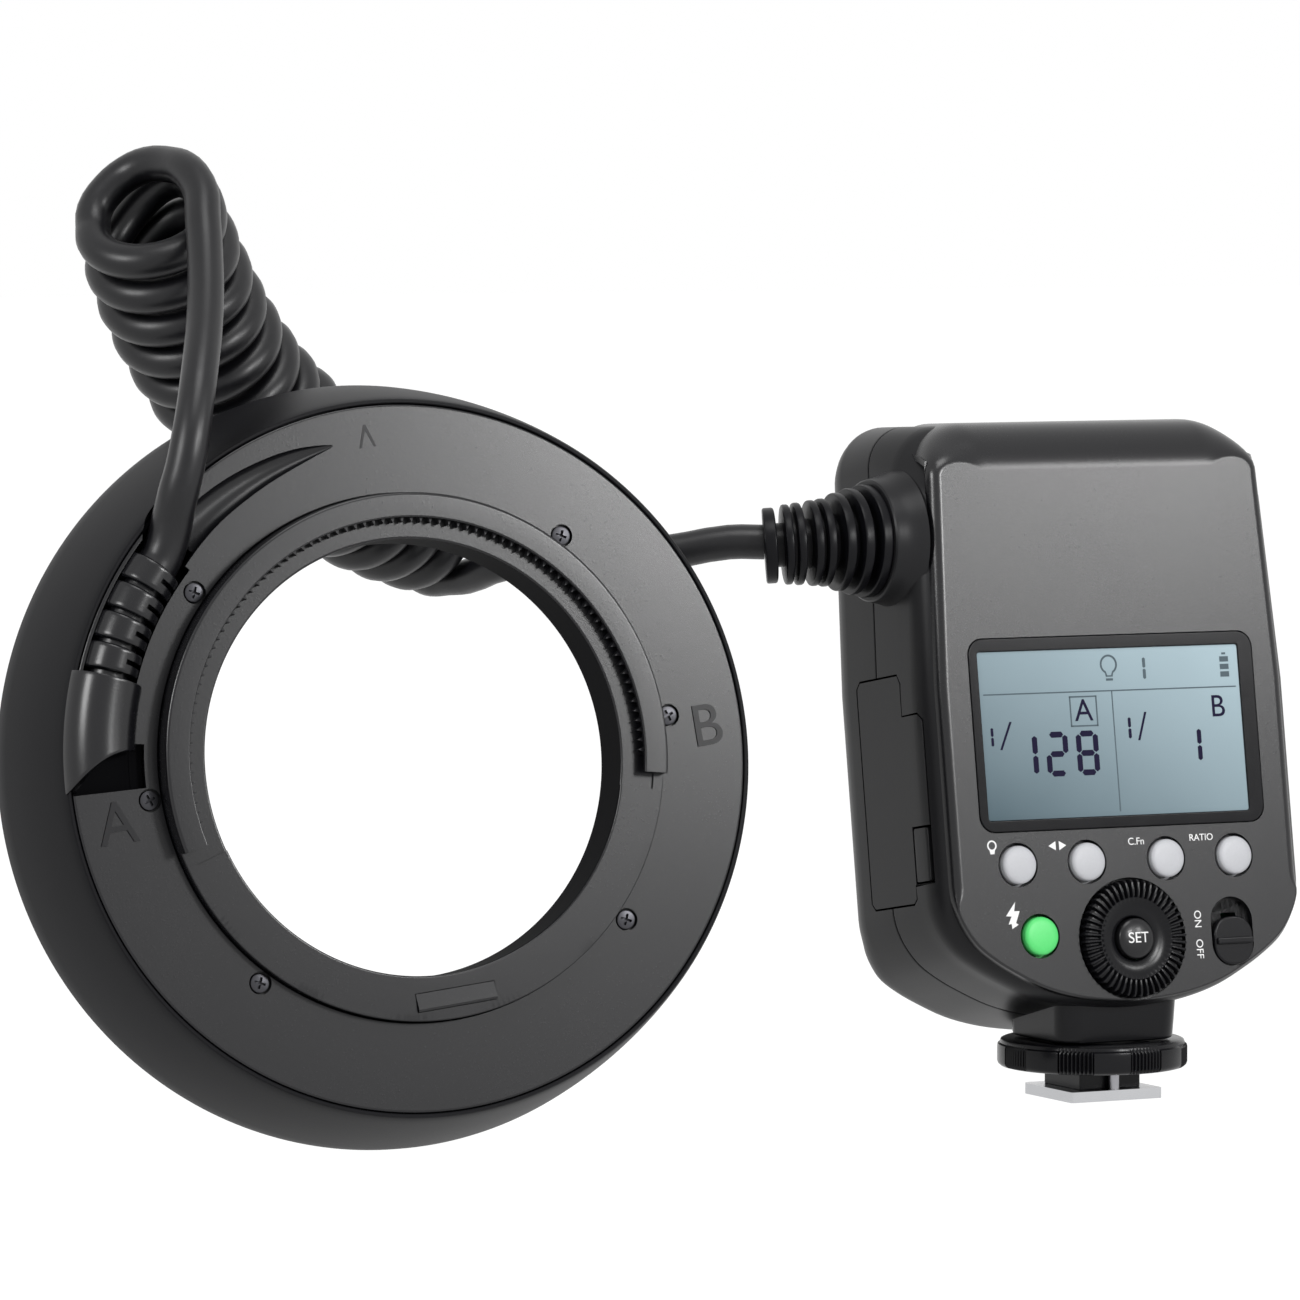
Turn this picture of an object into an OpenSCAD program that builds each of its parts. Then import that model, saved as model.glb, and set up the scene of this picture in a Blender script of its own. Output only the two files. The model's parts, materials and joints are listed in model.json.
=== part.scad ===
// Macro ring flash: a ring head on a curly cord and a controller that slides
// into a camera's accessory shoe. Millimetres, +Z up along the shoe foot,
// origin at the middle of the foot's underside. The display faces -Y.

/* [Ring head] */
// Largest diameter of the ring head, at its front rim
ring_od = 130; // [128:0.5:140]
// Diameter of the flat rear cover
cover_d = 118.8; // [117:0.2:120]
// Thickness of the rear cover
cover_t = 2; // [1.6:0.1:2.6]
// Depth from the rear face to the largest rim
rim_depth = 22; // [20.5:0.5:24]
// Depth from the rear face to the front face
ring_depth = 25.6; // [25.2:0.2:30]
// Clear diameter of the lens opening
opening_d = 73.2; // [70:0.2:74]
// Length of the straight wall of the lens opening
opening_len = 9.7; // [8:0.1:11]
// Diameter of the adapter seat
seat_d = 88.4; // [87.4:0.2:89]
// Height of the seat's floor above the rear face
seat_floor_h = 1.4; // [1:0.1:2]
// Height of the seat's lip above the rear face
lip_h = 4.2; // [3.8:0.1:5]
// Radial width of the lip
lip_w = 4.2; // [3:0.1:4.6]
// Half of the arc that the lip covers, in degrees from the top
lip_half_angle = 102.6; // [80:0.2:110]
// Number of click teeth round a full turn
click_teeth = 150; // [90:1:180]
// Diameter of the circle of rear screws
screw_circle_d = 92.8; // [92:0.2:95]
// Diameter of a rear screw's head
screw_head_d = 3.4; // [2.6:0.1:3.8]
// Arc of each flash window, in degrees
window_angle = 150; // [120:1:156]
// Radial width of each flash window
window_w = 14; // [11:0.5:15]
// Bore radius of a flash tube's glass
flash_tube_r = 2; // [1.4:0.1:2.4]

/* [Ring cord gland] */
// Radius of the circle that the gland lies on
gland_path_r = 54; // [53.5:0.1:54.2]
// Radius of the gland's blocks
gland_r = 4.8; // [4.3:0.1:4.9]
// Height of the gland's middle above the rear face
gland_h = -1.5; // [-2:0.1:-1]

/* [Curly cord] */
// Diameter of the cord
cord_d = 6.2; // [5:0.1:6.3]
// Radius of the curls, to the middle of the cord
curl_r = 9.75; // [8.5:0.05:10.5]
// Number of curls
curl_count = 13.25; // [9.25:1:13.25]

/* [Controller body] */
// Width of the body
body_w = 75; // [74:0.5:82]
// Height of the body
body_h = 105; // [104:0.5:115]
// Distance from the shoe's middle to the rear panel
panel_y = 16.2; // [15.8:0.1:18]
// Distance from the shoe's middle to the body's front face
front_y = 23.3; // [22.5:0.1:28]
// Angle that the body leans back from the shoe, in degrees
body_lean = 9; // [7:0.5:11]
// Height of the body's lower end above the shoe's underside
body_base_z = 15; // [14.4:0.1:17]
// Wall of the shells
shell_wall = 2; // [1.6:0.1:2.2]
// Place of the seam between the shells, from the shoe's middle
seam_y = 2.8; // [2:0.1:5]
// Height of the raised panel over the cheeks
panel_raise = 0.9; // [0.5:0.1:1.4]
// Width of the raised panel
panel_w = 70.8; // [68:0.2:72]

/* [Display and controls] */
// Width of the display window
lcd_w = 58.1; // [54:0.1:60]
// Height of the display window
lcd_h = 34.2; // [30:0.1:36]
// Height of the window's lower edge above the body's lower end
lcd_z = 31.9; // [31.6:0.1:34]
// Diameter of a round button
button_d = 6.8; // [5.6:0.1:7.4]
// Height of the row of four buttons
button_row_z = 26; // [25:0.1:26.8]
// Travel of a button
button_travel = 0.8; // [0.4:0.1:0.9]
// Diameter of the control dial
dial_d = 21; // [18:0.2:21.6]
// Height of the dial's middle above the body's lower end
dial_z = 12; // [11.8:0.1:12.6]
// Diameter of the button inside the dial
set_d = 7.2; // [5.6:0.1:7.6]
// Width of the slide switch's slot
switch_w = 8.6; // [7:0.1:9.4]
// Height of the slide switch's slot
switch_h = 12.5; // [11:0.1:13]
// Travel of the slide switch
switch_travel = 3.2; // [2:0.1:4]

/* [Battery] */
// Length of the battery pack, without its end cap
battery_len = 60; // [54:0.5:61]
// Height of the battery pack
battery_h = 38; // [34:0.5:38.4]
// Thickness of the battery pack
battery_t = 14.8; // [13:0.2:15]

/* [Shoe foot] */
// Width of the shoe plate
shoe_w = 18.6; // [18.2:0.05:18.6]
// Length of the shoe plate
shoe_len = 18; // [17:0.1:18.5]
// Thickness of the shoe plate
shoe_t = 1.9; // [1.7:0.05:2]
// Width of the column between the camera's rails
column_w = 12.4; // [11.6:0.1:12.5]
// Diameter of the lock wheel
wheel_d = 34; // [30:0.5:38]
// Height of the lock wheel
wheel_h = 5; // [4.4:0.1:5]
// Gap between the shoe plate and the open lock wheel
rail_gap = 3.5; // [3.4:0.1:4]
// Way that the lock wheel comes down when it is closed
lock_travel = 1.5; // [1:0.1:1.6]
// Diameter of the centre contact
contact_d = 2.4; // [1.8:0.1:3]

/* [Clearances] */
// Gap between mouldings that meet
fit_gap = 0.15; // [0.1:0.01:0.2]
// Gap round a piece that moves in a cut-out
move_gap = 0.35; // [0.3:0.01:0.4]
// Radial gap of a shaft that turns or slides in a bore
run_gap = 0.05; // [0.03:0.01:0.08]

/* [Hidden] */
$fn = 96;

// Colours
charcoal = "#3a3a3e";
soft_black = "#1c1c1f";
light_grey = "#c9cacd";
steel = "#b9bcc2";

// Place and turn of the ring head beside the controller
ring_at = [-147, -27, 67.6];
ring_yaw = 6.4;
ring_lean = 8;
ring_roll = 7.3;

// Ring head, worked out
ring_r = ring_od / 2;
cover_r = cover_d / 2;
rim_in = cover_r + fit_gap;
rim_out = rim_in + 0.75;
opening_r = opening_d / 2;
seat_r = seat_d / 2;
seat_flange_t = 2;
seat_tube_t = 2;
wall_in = seat_r - 1.2;
wall_out = seat_r + 0.4;
shelf_z = -cover_t - 0.05;
floor_t = 1.4;
floor_z = -12;
front_lip = 3;
ledge_w = 1.85;
bed_off = 5.2;
bed_gap = 0.3;
bezel_t = 2;
bezel_back = -ring_depth + bezel_t;
cone_top = seat_floor_h - opening_len - 0.3;
cone_wall = 1.5;
window_out = ring_r - front_lip - 1.5;
window_in = window_out - window_w;
cone_out = window_in - 2.6;
screw_r = screw_circle_d / 2;
screw_angles = [-45, 0, 45, 135, 180, 225];
screw_shank_r = 1;
catch_w = 14;
catch_d = 3;
catch_r = seat_r - 3.6;
catch_raise = 0.6;
wing_t = 1.2;
wing_w = 1.2;
seat_lower_h = 0.4;
step_angle = 3.6;
lamp_z = -17.5;
electrode_r = 0.6;
lamp_r = (window_in + window_out) / 2;

// Gland of the ring head: four blocks, then the stretch under the bridge
gland_start = 137;
gland_blocks = 4;
gland_pitch = 5;
bridge_end = 170;
pocket_end = 178.5;
bridge_start = gland_start + gland_blocks * gland_pitch;
channel_r = gland_r + 0.2;
block_z = gland_h - channel_r - 1.6;
groove_end = 97;
exit_at = [-33, 51.5, 4.4];

// Controller, worked out
half_w = body_w / 2;
depth = panel_y + front_y;
top_taper = 1.6;
bow = [[0, 0], [0.2, 0.45], [0.37, 1.5], [0.53, 3.3], [0.68, 6], [0.79, 8.4], [0.88, 11], [0.945, 14.2],
    [0.985, 17.6], [1, 21.5]];
inner_y = panel_raise + shell_wall - panel_y;
board_y = inner_y + 2.6;
board_t = 1.6;
board_back = board_y + board_t;
button_edge = 13.3;
button_far = panel_w / 2 - button_edge;
button_near = 8.1;
button_x = [-button_far, -button_near, button_near, button_far];
button_raise = 1;
button_flange = 0.8;
flange_t = 0.6;
flange_y = inner_y + 0.3;
pad_t = 0.65;
test_at = [-18.7, 13.3];
switch_at = [20.6, 12.4];
switch_floor_y = -panel_y + 1.1;
dial_floor_y = -panel_y + 1.1;
hub_r = 5.4;
lcd_recess = 1.2;
lcd_frame = 2.3;
cord_hole_at = [-3.5, 85.3];
boss_out = half_w + 3;
gland_len = 19.1;
gland_tip_x = -boss_out - gland_len;
post_edge = [8.5, 9.5];
post_z = 12;
post_x = [half_w - post_edge[0], half_w - post_edge[1]];
shell_screw_at = [[-post_x[0], post_z], [post_x[0], post_z], [-post_x[1], body_h - post_z],
    [post_x[1], body_h - post_z]];
post_r = 3;
capacitor_r = 10;
capacitor_len = 36;
capacitor_edge = 9.5;
capacitor_down = 28;
board_edge = 4;
board_low = 5;
board_down = 6;

// Battery, worked out
battery_z = 40.5;
battery_x0 = -half_w + 3.5;
battery_y0 = -5.3;
battery_ym = battery_y0 + battery_t / 2;
tray_gap = 0.35;
tray_t = 1;
door_low = 20.6;
door_top = 61;
door_front = 10;
door_back = -12.2;
latch_low = 24.2;
latch_top = 33.7;
latch_back = -11.6;
latch_front = -7;
latch_t = 1.7;
latch_travel = 1.2;

// Shoe foot, worked out
wheel_z = shoe_t + rail_gap;
neck_z = wheel_z + wheel_h + 0.3;
neck_w = 24;
neck_len = 22;
boss_r = 9.9;
boss_z = wheel_z + 1.6;
washer_t = 0.8;
washer_r = 12.3;
lock_pin_y = -shoe_len / 2 + 1.25;
lock_pin_r = 0.95;
column_len = 13;
collar_r = contact_d / 2 + 0.6;
collar_t = 0.8;
contact_travel = 0.5;

// Ways to place pieces
module at_ring() {
  translate(ring_at)
    rotate([0, 0, -ring_yaw])
      rotate([90 - ring_lean, 0, 0])
        rotate([0, 0, ring_roll])
          children();
}

module at_body() {
  translate([0, 0, body_base_z])
    rotate([-body_lean, 0, 0])
      children();
}

// A point given in the ring head's own frame, in the part's frame
function turn_x(v, a) = [v.x, v.y * cos(a) - v.z * sin(a), v.y * sin(a) + v.z * cos(a)];
function turn_z(v, a) = [v.x * cos(a) - v.y * sin(a), v.x * sin(a) + v.y * cos(a), v.z];
function ring_turn(v) = turn_z(turn_x(turn_z(v, ring_roll), 90 - ring_lean), -ring_yaw);
function body_point(v) = [0, 0, body_base_z] + turn_x(v, -body_lean);

// Rectangle with its own radius at each corner, from lower left, anticlockwise
module round_rect(x0, x1, y0, y1, r) {
  polygon([[x0 + r[0], y0], [x1 - r[1], y0], [x1, y0 + r[1]], [x1, y1 - r[2]],
      [x1 - r[2], y1], [x0 + r[3], y1], [x0, y1 - r[3]], [x0, y0 + r[0]]]);
  translate([x0 + r[0], y0 + r[0]]) circle(r[0]);
  translate([x1 - r[1], y0 + r[1]]) circle(r[1]);
  translate([x1 - r[2], y1 - r[2]]) circle(r[2]);
  translate([x0 + r[3], y1 - r[3]]) circle(r[3]);
}

// Extrudes along Y an outline drawn in X and Z
module along_y(y0, y1) {
  translate([0, y1, 0])
    rotate([90, 0, 0])
      linear_extrude(y1 - y0)
        children();
}

// Extrudes along X an outline drawn in Y and Z
module along_x(x0, x1) {
  translate([x0, 0, 0])
    rotate([90, 0, 90])
      linear_extrude(x1 - x0)
        children();
}

// Round peg square to the rear panel
module peg(at, y0, y1, r) {
  translate([at[0], y1, at[1]])
    rotate([90, 0, 0])
      cylinder(r = r, h = y1 - y0);
}

// Part of a revolve about the ring's axis, from one angle to another
module sweep(a0, a1) {
  rotate([0, 0, a0])
    rotate_extrude(angle = a1 - a0)
      children();
}

// Round bar bent along the gland's circle
module gland_bar(a0, a1, r) {
  sweep(a0, a1)
    translate([gland_path_r, gland_h])
      circle(r, $fn = 48);
}

// Curly cord: sweeps, springs and their least gap
function unit(v) = v / norm(v);
function heading(p, i) =
    i == 0 ? unit(p[1] - p[0])
    : i == len(p) - 1 ? unit(p[i] - p[i - 1])
    : unit(unit(p[i + 1] - p[i]) + unit(p[i] - p[i - 1]));
function squared(n, t) = unit(n - (n * t) * t);
function normals(p, i, n) =
    let (m = squared(n, heading(p, i)))
    i == len(p) - 1 ? [m] : concat([m], normals(p, i + 1, m));

module tube(p, d, sides) {
  n = normals(p, 0, [0.1, 0.9, 0.42]);
  last = len(p) - 1;
  points = [for (i = [0:last])
      let (u = n[i], v = cross(heading(p, i), n[i]))
      for (k = [0:sides - 1])
        p[i] + d / 2 * (cos(360 * k / sides) * u + sin(360 * k / sides) * v)];
  sides_of = [for (i = [0:last - 1]) for (k = [0:sides - 1])
      let (a = i * sides + k, b = i * sides + (k + 1) % sides)
      each [[a, a + sides, b], [b, a + sides, b + sides]]];
  caps = [for (k = [1:sides - 2])
      each [[0, k, k + 1], [last * sides, last * sides + k + 1, last * sides + k]]];
  polyhedron(points, concat(sides_of, caps));
}

// A coil spring that stands on a point, with its axis along +Z
function spring_points(r, h, turns) =
    [for (i = [0:8 * turns]) [r * cos(45 * i), r * sin(45 * i), h * i / (8 * turns)]];

// The cord's route: chosen points, and the curls about a bowed axis
axis_start = [-175, 22, 152.5];
axis_bend = [-145, 44, 117];
axis_end = [-102, 55, 101.5];
curl_from = 195;
rings_per_curl = 8;
function axis_at(s) = (1 - s) * (1 - s) * axis_start + 2 * s * (1 - s) * axis_bend + s * s * axis_end;
function axis_way(s) = unit((1 - s) * (axis_bend - axis_start) + s * (axis_end - axis_bend));
function curl_point(s) =
    let (t = axis_way(s), side = unit(cross(t, [0, 0, 1])), rise = cross(side, t))
    let (a = curl_from + 360 * curl_count * s)
    axis_at(s) + curl_r * (cos(a) * side + sin(a) * rise);
curl_steps = rings_per_curl * curl_count;
curl_points = [for (i = [0:curl_steps]) curl_point(i / curl_steps)];

cord_from = ring_at + ring_turn([gland_path_r * cos(gland_start), gland_path_r * sin(gland_start), gland_h]);
cord_from_way = ring_turn([sin(gland_start), -cos(gland_start), 0]);
ring_lead_route = [[-186.2, -17.3, 108], [-186, -19, 112], [-185, -19.7, 116.5], [-184, -19.5, 121],
    [-182.5, -18, 126], [-180.5, -15.2, 131]];
loop_start = [-175, -5.5, 142];
loop_way = unit([2.4, 5, 6]);
loop_route = [[-171.2, 3.2, 152.2], [-169.8, 7.2, 157.4], [-168.5, 11, 161.8], [-168.7, 16, 165.3],
    [-169.7, 21.5, 166.8], [-171.3, 26.3, 166.2], [-173.4, 30, 163.8], [-175.8, 32.3, 160.3],
    [-178.3, 32.8, 156.2]];
curl_end = curl_points[len(curl_points) - 1];
curl_end_way = heading(curl_points, len(curl_points) - 1);
cord_to = body_point([gland_tip_x, cord_hole_at[0], cord_hole_at[1]]);
controller_lead_route = [[-99, 37.5, 97], [-92, 28, 98.2], [-83, 18.5, 99], [-74, 12, 99.6]];

curls_route = concat([loop_start, loop_start + cord_d * loop_way], loop_route, curl_points,
    [curl_end + cord_d * curl_end_way]);
least_gap = min([for (i = [0:len(curl_points) - 1]) for (j = [i + 5:1:len(curl_points) - 1])
    norm(curl_points[i] - curl_points[j])]) - cord_d;
loop_gap = min([for (a = loop_route) for (j = [5:len(curl_points) - 1]) norm(a - curl_points[j])]) - cord_d;
route_length = function (p) [for (i = [1:len(p) - 1]) norm(p[i] - p[i - 1])] * [for (i = [1:len(p) - 1]) 1];
echo(least_gap_of_curls = least_gap, least_gap_of_loop = loop_gap);
echo(length_of_curls = route_length(curls_route));

// Ring head
wall_low = ring_r - front_lip;
wall_high = rim_in - ledge_w;
function wall_x(z) = wall_low + (wall_high - wall_low) * (z + rim_depth) / (rim_depth + shelf_z);

module groove() {
  a = [gland_path_r * cos(gland_start), gland_path_r * sin(gland_start)];
  b = [gland_path_r * cos(groove_end), gland_path_r * sin(groove_end)];
  translate([a.x, a.y, gland_h + 2])
    rotate([0, 0, atan2(b.y - a.y, b.x - a.x)])
      rotate([0, 90, 0])
        cylinder(r1 = channel_r, r2 = 1, h = norm(b - a));
}

// Way out of the gland for the cord: straight, then rising over the rim
module cord_exit() {
  start = [gland_path_r * cos(gland_start), gland_path_r * sin(gland_start), gland_h];
  way = [sin(gland_start), -cos(gland_start), 0];
  bar(start - way, start + (cord_d + 1) * way, cord_d / 2 + 0.9);
  bar(start + 4 * way, exit_at, cord_d / 2 + 1.2);
}

// Round bar from one point to another
module bar(a, b, r) {
  v = b - a;
  translate(a)
    rotate([0, acos(v.z / norm(v)), atan2(v.y, v.x)])
      cylinder(r = r, h = norm(v));
}

module channel() {
  gland_bar(gland_start - 7, pocket_end, channel_r);
  groove();
  cord_exit();
}

module ring_housing() {
  color(charcoal) at_ring() difference() {
    union() {
      rotate_extrude()
        polygon([[rim_in, 0], [rim_out, 0], [ring_r, -rim_depth], [ring_r, 1 - ring_depth],
            [ring_r - 1, -ring_depth], [ring_r - front_lip, -ring_depth], [ring_r - front_lip, -rim_depth],
            [wall_x(floor_z - floor_t), floor_z - floor_t], [wall_in, floor_z - floor_t],
            [wall_in, -seat_flange_t - 0.05], [wall_out, -seat_flange_t - 0.05], [wall_out, floor_z],
            [wall_x(floor_z), floor_z], [rim_in - ledge_w, shelf_z], [rim_in, shelf_z]]);
      for (a = screw_angles)
        rotate([0, 0, a])
          translate([screw_r, 0, floor_z - 0.5])
            cylinder(r = 2.7, h = shelf_z - floor_z + 0.5);
    }
    for (a = screw_angles)
      rotate([0, 0, a])
        translate([screw_r, 0, floor_z])
          cylinder(r = screw_shank_r + run_gap, h = -floor_z);
    gland_bar(gland_start - 7, pocket_end, channel_r);
    cord_exit();
  }
}

// Bed that carries the gland and closes the channel and the groove from below
module cord_bed() {
  bed_in = wall_out + bed_off;
  color(charcoal) at_ring() difference() {
    sweep(groove_end - 3, pocket_end + 3)
      translate([bed_in, block_z])
        square([rim_in - ledge_w - bed_gap - bed_in, shelf_z - 0.05 - block_z]);
    channel();
  }
}

module ring_rear_cover() {
  color(charcoal) at_ring() difference() {
    rotate_extrude()
      polygon([[seat_r + fit_gap, -cover_t], [cover_r, -cover_t], [cover_r, -0.5], [cover_r - 0.5, 0],
          [seat_r + fit_gap, 0]]);
    for (a = screw_angles)
      rotate([0, 0, a])
        translate([screw_r, 0, -cover_t - 1]) {
          cylinder(r = screw_shank_r + fit_gap, h = 4);
          translate([0, 0, 2])
            cylinder(r = screw_head_d / 2 + 0.25, h = 4);
        }
    channel();
  }
}

module adapter_seat() {
  lip_in = seat_r - lip_w;
  lip_under = lip_h - 1;
  channel_out = seat_r - 1.8;
  tube_r = opening_r + seat_tube_t;
  clear = opening_r - 1;
  color(charcoal) at_ring() difference() {
    rotate_extrude()
      polygon([[opening_r, seat_floor_h - opening_len], [tube_r, seat_floor_h - opening_len],
          [tube_r, -seat_flange_t], [seat_r, -seat_flange_t], [seat_r, lip_h - 0.6], [seat_r - 0.6, lip_h],
          [opening_r, lip_h]]);
    sweep(90 - lip_half_angle - step_angle, 90 + lip_half_angle + step_angle)
      polygon([[clear, seat_floor_h], [channel_out, seat_floor_h], [channel_out, lip_under], [lip_in, lip_under],
          [lip_in, lip_h + 1], [clear, lip_h + 1]]);
    sweep(90 + lip_half_angle, 450 - lip_half_angle)
      translate([clear, seat_floor_h + seat_lower_h])
        square([seat_r + 1 - clear, lip_h]);
    translate([-catch_w / 2 - move_gap, -catch_r - catch_d / 2 - move_gap, -3])
      cube([catch_w + 2 * move_gap, catch_d + 2 * move_gap, 8]);
  }
}

module click_ring() {
  outer = seat_r - 1.8 - 0.1;
  root = outer - 0.9;
  tip = seat_r - lip_w - 0.8;
  step = 360 / click_teeth;
  count = floor((2 * lip_half_angle - 8) / step);
  first = 90 - count * step / 2;
  color("#55565a") at_ring()
    translate([0, 0, seat_floor_h + 0.1])
      linear_extrude(lip_h - 1 - seat_floor_h - 0.2)
        polygon(concat(
            [for (i = [0:count - 1]) each [
                root * [cos(first + i * step), sin(first + i * step)],
                tip * [cos(first + (i + 0.5) * step), sin(first + (i + 0.5) * step)]]],
            [root * [cos(first + count * step), sin(first + count * step)]],
            [for (i = [count:-1:0]) outer * [cos(first + i * step), sin(first + i * step)]]));
}

module adapter_catch() {
  top = seat_floor_h + seat_lower_h + catch_raise;
  low = -seat_flange_t - move_gap - wing_t;
  color(charcoal) at_ring()
    translate([0, -catch_r, 0]) {
      along_x(-catch_w / 2, catch_w / 2)
        polygon([[-catch_d / 2, low], [catch_d / 2, low], [catch_d / 2, top - catch_raise],
            [0.4 - catch_d / 2, top], [-catch_d / 2, top - 0.3]]);
      translate([-catch_w / 2 - wing_w, -0.5, low])
        cube([catch_w + 2 * wing_w, catch_d / 2 + 0.5, wing_t]);
    }
}

module ring_screws() {
  color(steel) at_ring()
    for (a = screw_angles)
      rotate([0, 0, a])
        translate([screw_r, 0, 0])
          difference() {
            union() {
              translate([0, 0, -8])
                cylinder(r = screw_shank_r, h = 8 - cover_t + 1.2);
              translate([0, 0, 1.05 - cover_t])
                cylinder(r = screw_head_d / 2, h = cover_t - 1.25);
            }
            for (turn = [0, 90])
              rotate([0, 0, turn])
                translate([-0.9, -0.18, -0.6])
                  cube([1.8, 0.36, 2]);
          }
}

module front_bezel() {
  color(soft_black) at_ring() difference() {
    rotate_extrude()
      polygon([[opening_r + 0.5, cone_top], [opening_r + 0.5 + cone_wall, cone_top],
          [cone_out + cone_wall, bezel_back], [ring_r - front_lip - fit_gap, bezel_back],
          [ring_r - front_lip - fit_gap, -ring_depth], [cone_out, -ring_depth]]);
    for (middle = [0, 180])
      sweep(middle - window_angle / 2, middle + window_angle / 2)
        translate([window_in, -ring_depth - 1])
          square([window_out - window_in, bezel_t + 2]);
    led_places() cylinder(r = 2.2, h = 8, center = true);
  }
}

module led_places() {
  for (a = [84, 96, 264, 276])
    rotate([0, 0, a])
      translate([lamp_r, 0, -ring_depth])
        children();
}

module modelling_leds() {
  color("#f4efcf") at_ring()
    led_places() {
      cylinder(r = 2, h = bezel_t + 0.6);
      translate([0, 0, 0.3])
        intersection() {
          sphere(2);
          translate([-2, -2, -0.7])
            cube([4, 4, 1]);
        }
    }
}

module diffuser(middle) {
  half = window_angle / 2 - 0.3;
  color("#eef0f2") at_ring()
    sweep(middle - half, middle + half)
      translate([window_in + 0.2, 0])
        polygon([[0, -ring_depth + 0.1], [window_out - window_in - 0.4, -ring_depth + 0.1],
            [window_out - window_in - 0.4, bezel_back - 0.1], [0, bezel_back - 0.1]]);
}

module reflector(middle) {
  half = window_angle / 2 - 1;
  top = floor_z - floor_t - 0.4;
  low = bezel_back + 0.1;
  skin = 0.7;
  color("#dfe3e8") at_ring()
    sweep(middle - half, middle + half)
      polygon([[window_in + 0.4, low], [window_in + 3.2, top], [window_out - 3.2, top],
          [window_out - 0.4, low],
          [window_out - 0.4 - skin, low], [window_out - 3.2 - skin, top - skin],
          [window_in + 3.2 + skin, top - skin], [window_in + 0.4 + skin, low]]);
}

module flash_tube(middle) {
  half = window_angle / 2 - 6;
  color("#d8ecf4") at_ring() {
    sweep(middle - half, middle + half)
      translate([lamp_r, lamp_z])
        circle(flash_tube_r);
    sweep(middle - half - 2, middle + half + 2)
      translate([lamp_r, lamp_z])
        circle(electrode_r);
  }
}

module tube_grommets() {
  top = floor_z - floor_t - 0.4 - 0.7 - 0.15;
  color("#e8e4d8") at_ring()
    for (middle = [0, 180])
      for (end = [-1, 1])
        rotate([0, 0, middle + end * (window_angle / 2 - 9)])
          difference() {
            sweep(-1.5, 1.5)
              translate([lamp_r - 2.8, lamp_z - 2.8])
                square([5.6, top - lamp_z + 2.8]);
            sweep(-3, 3)
              translate([lamp_r, lamp_z])
                circle(flash_tube_r + run_gap);
          }
}

module ring_board() {
  chip_in = 8.3446;
  color("#2f6b46") at_ring() difference() {
    union() {
      translate([0, 0, floor_z])
        rotate_extrude()
          translate([wall_out + 0.6, 0])
            square([wall_x(floor_z) - 2 - wall_out - 0.6, 1.6]);
      for (a = [-70, -20, 20, 65])
        rotate([0, 0, a])
          translate([wall_x(floor_z) - chip_in, -5, floor_z + 1])
            cube([6, 10, 4.6]);
    }
    for (a = screw_angles)
      rotate([0, 0, a])
        translate([screw_r, 0, floor_z - 1])
          cylinder(r = 3.1, h = 8);
  }
}

module gland_bridge() {
  skin = 1;
  color(charcoal) at_ring() difference() {
    gland_bar(bridge_start + 0.5, bridge_end, channel_r + skin);
    gland_bar(bridge_start - 1, bridge_end + 1, channel_r);
    translate([0, 0, 0.05 - 20])
      cylinder(r = ring_r + 10, h = 20);
  }
}

module ring_gland() {
  core = gland_r - 1.3;
  slit = 0.8;
  color(soft_black) at_ring() difference() {
    union() {
      gland_bar(gland_start, bridge_end - 2, core);
      for (i = [0:gland_blocks - 1])
        gland_bar(gland_start + i * gland_pitch, gland_start + (i + 1) * gland_pitch - slit, gland_r);
      gland_bar(bridge_start + 1, bridge_end - 3, gland_r - 0.3);
    }
    for (i = [0:gland_blocks - 1])
      sweep(gland_start + i * gland_pitch + 1.6, gland_start + i * gland_pitch + 2.4)
        translate([gland_path_r - gland_r - 1, gland_h + 0.5])
          square([3.4, gland_r + 1]);
  }
}

// Cord
module cord_ring_lead() {
  color(soft_black)
    tube(concat([cord_from, cord_from + cord_d * cord_from_way], ring_lead_route,
        [loop_start - cord_d * loop_way, loop_start]), cord_d, 10);
}

module cord_curls() {
  color(soft_black)
    tube(curls_route, cord_d, 6);
}

module cord_controller_lead() {
  start = curl_end + cord_d * curl_end_way;
  color(soft_black)
    tube(concat([start, start + cord_d * curl_end_way], controller_lead_route,
        [cord_to - [cord_d, 0, 0], cord_to]), cord_d, 10);
}

// Controller: outlines as points, anticlockwise, and the same moved inwards
function corner(x, y, r, a0) = [for (k = [0:6]) [x + r * cos(a0 + 15 * k), y + r * sin(a0 + 15 * k)]];
function rect_points(x0, x1, y0, y1, r) = concat(corner(x0 + r[0], y0 + r[0], r[0], 180),
    corner(x1 - r[1], y0 + r[1], r[1], 270), corner(x1 - r[2], y1 - r[2], r[2], 0),
    corner(x0 + r[3], y1 - r[3], r[3], 90));
function half_front(w, z0, z1, r) = concat([for (p = bow) [p[0] * w, z0 + p[1]]],
    [[w, z1 * 0.55]], corner(w - top_taper - r, z1 - r, r, 0));
function front_points(w, z0, z1, r) =
    let (h = half_front(w, z0, z1, r))
    concat(h, [for (k = [len(h) - 1:-1:1]) [-h[k].x, h[k].y]]);
function left_of(v) = unit([-v.y, v.x]);
function inset(p, i) =
    let (n = len(p))
    [for (k = [0:n - 1])
      let (a = left_of(p[k] - p[(k + n - 1) % n]), b = left_of(p[(k + 1) % n] - p[k]), m = unit(a + b))
      p[k] + m * i / (m * a)];

near_y = panel_raise - panel_y;
body_front = front_points(half_w, 0, body_h, 11);
body_side = rect_points(near_y, front_y, 0, body_h, [5, 9, 10, 10]);
body_plan = rect_points(-half_w, half_w, near_y, front_y, [5, 5, 10, 10]);

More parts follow.
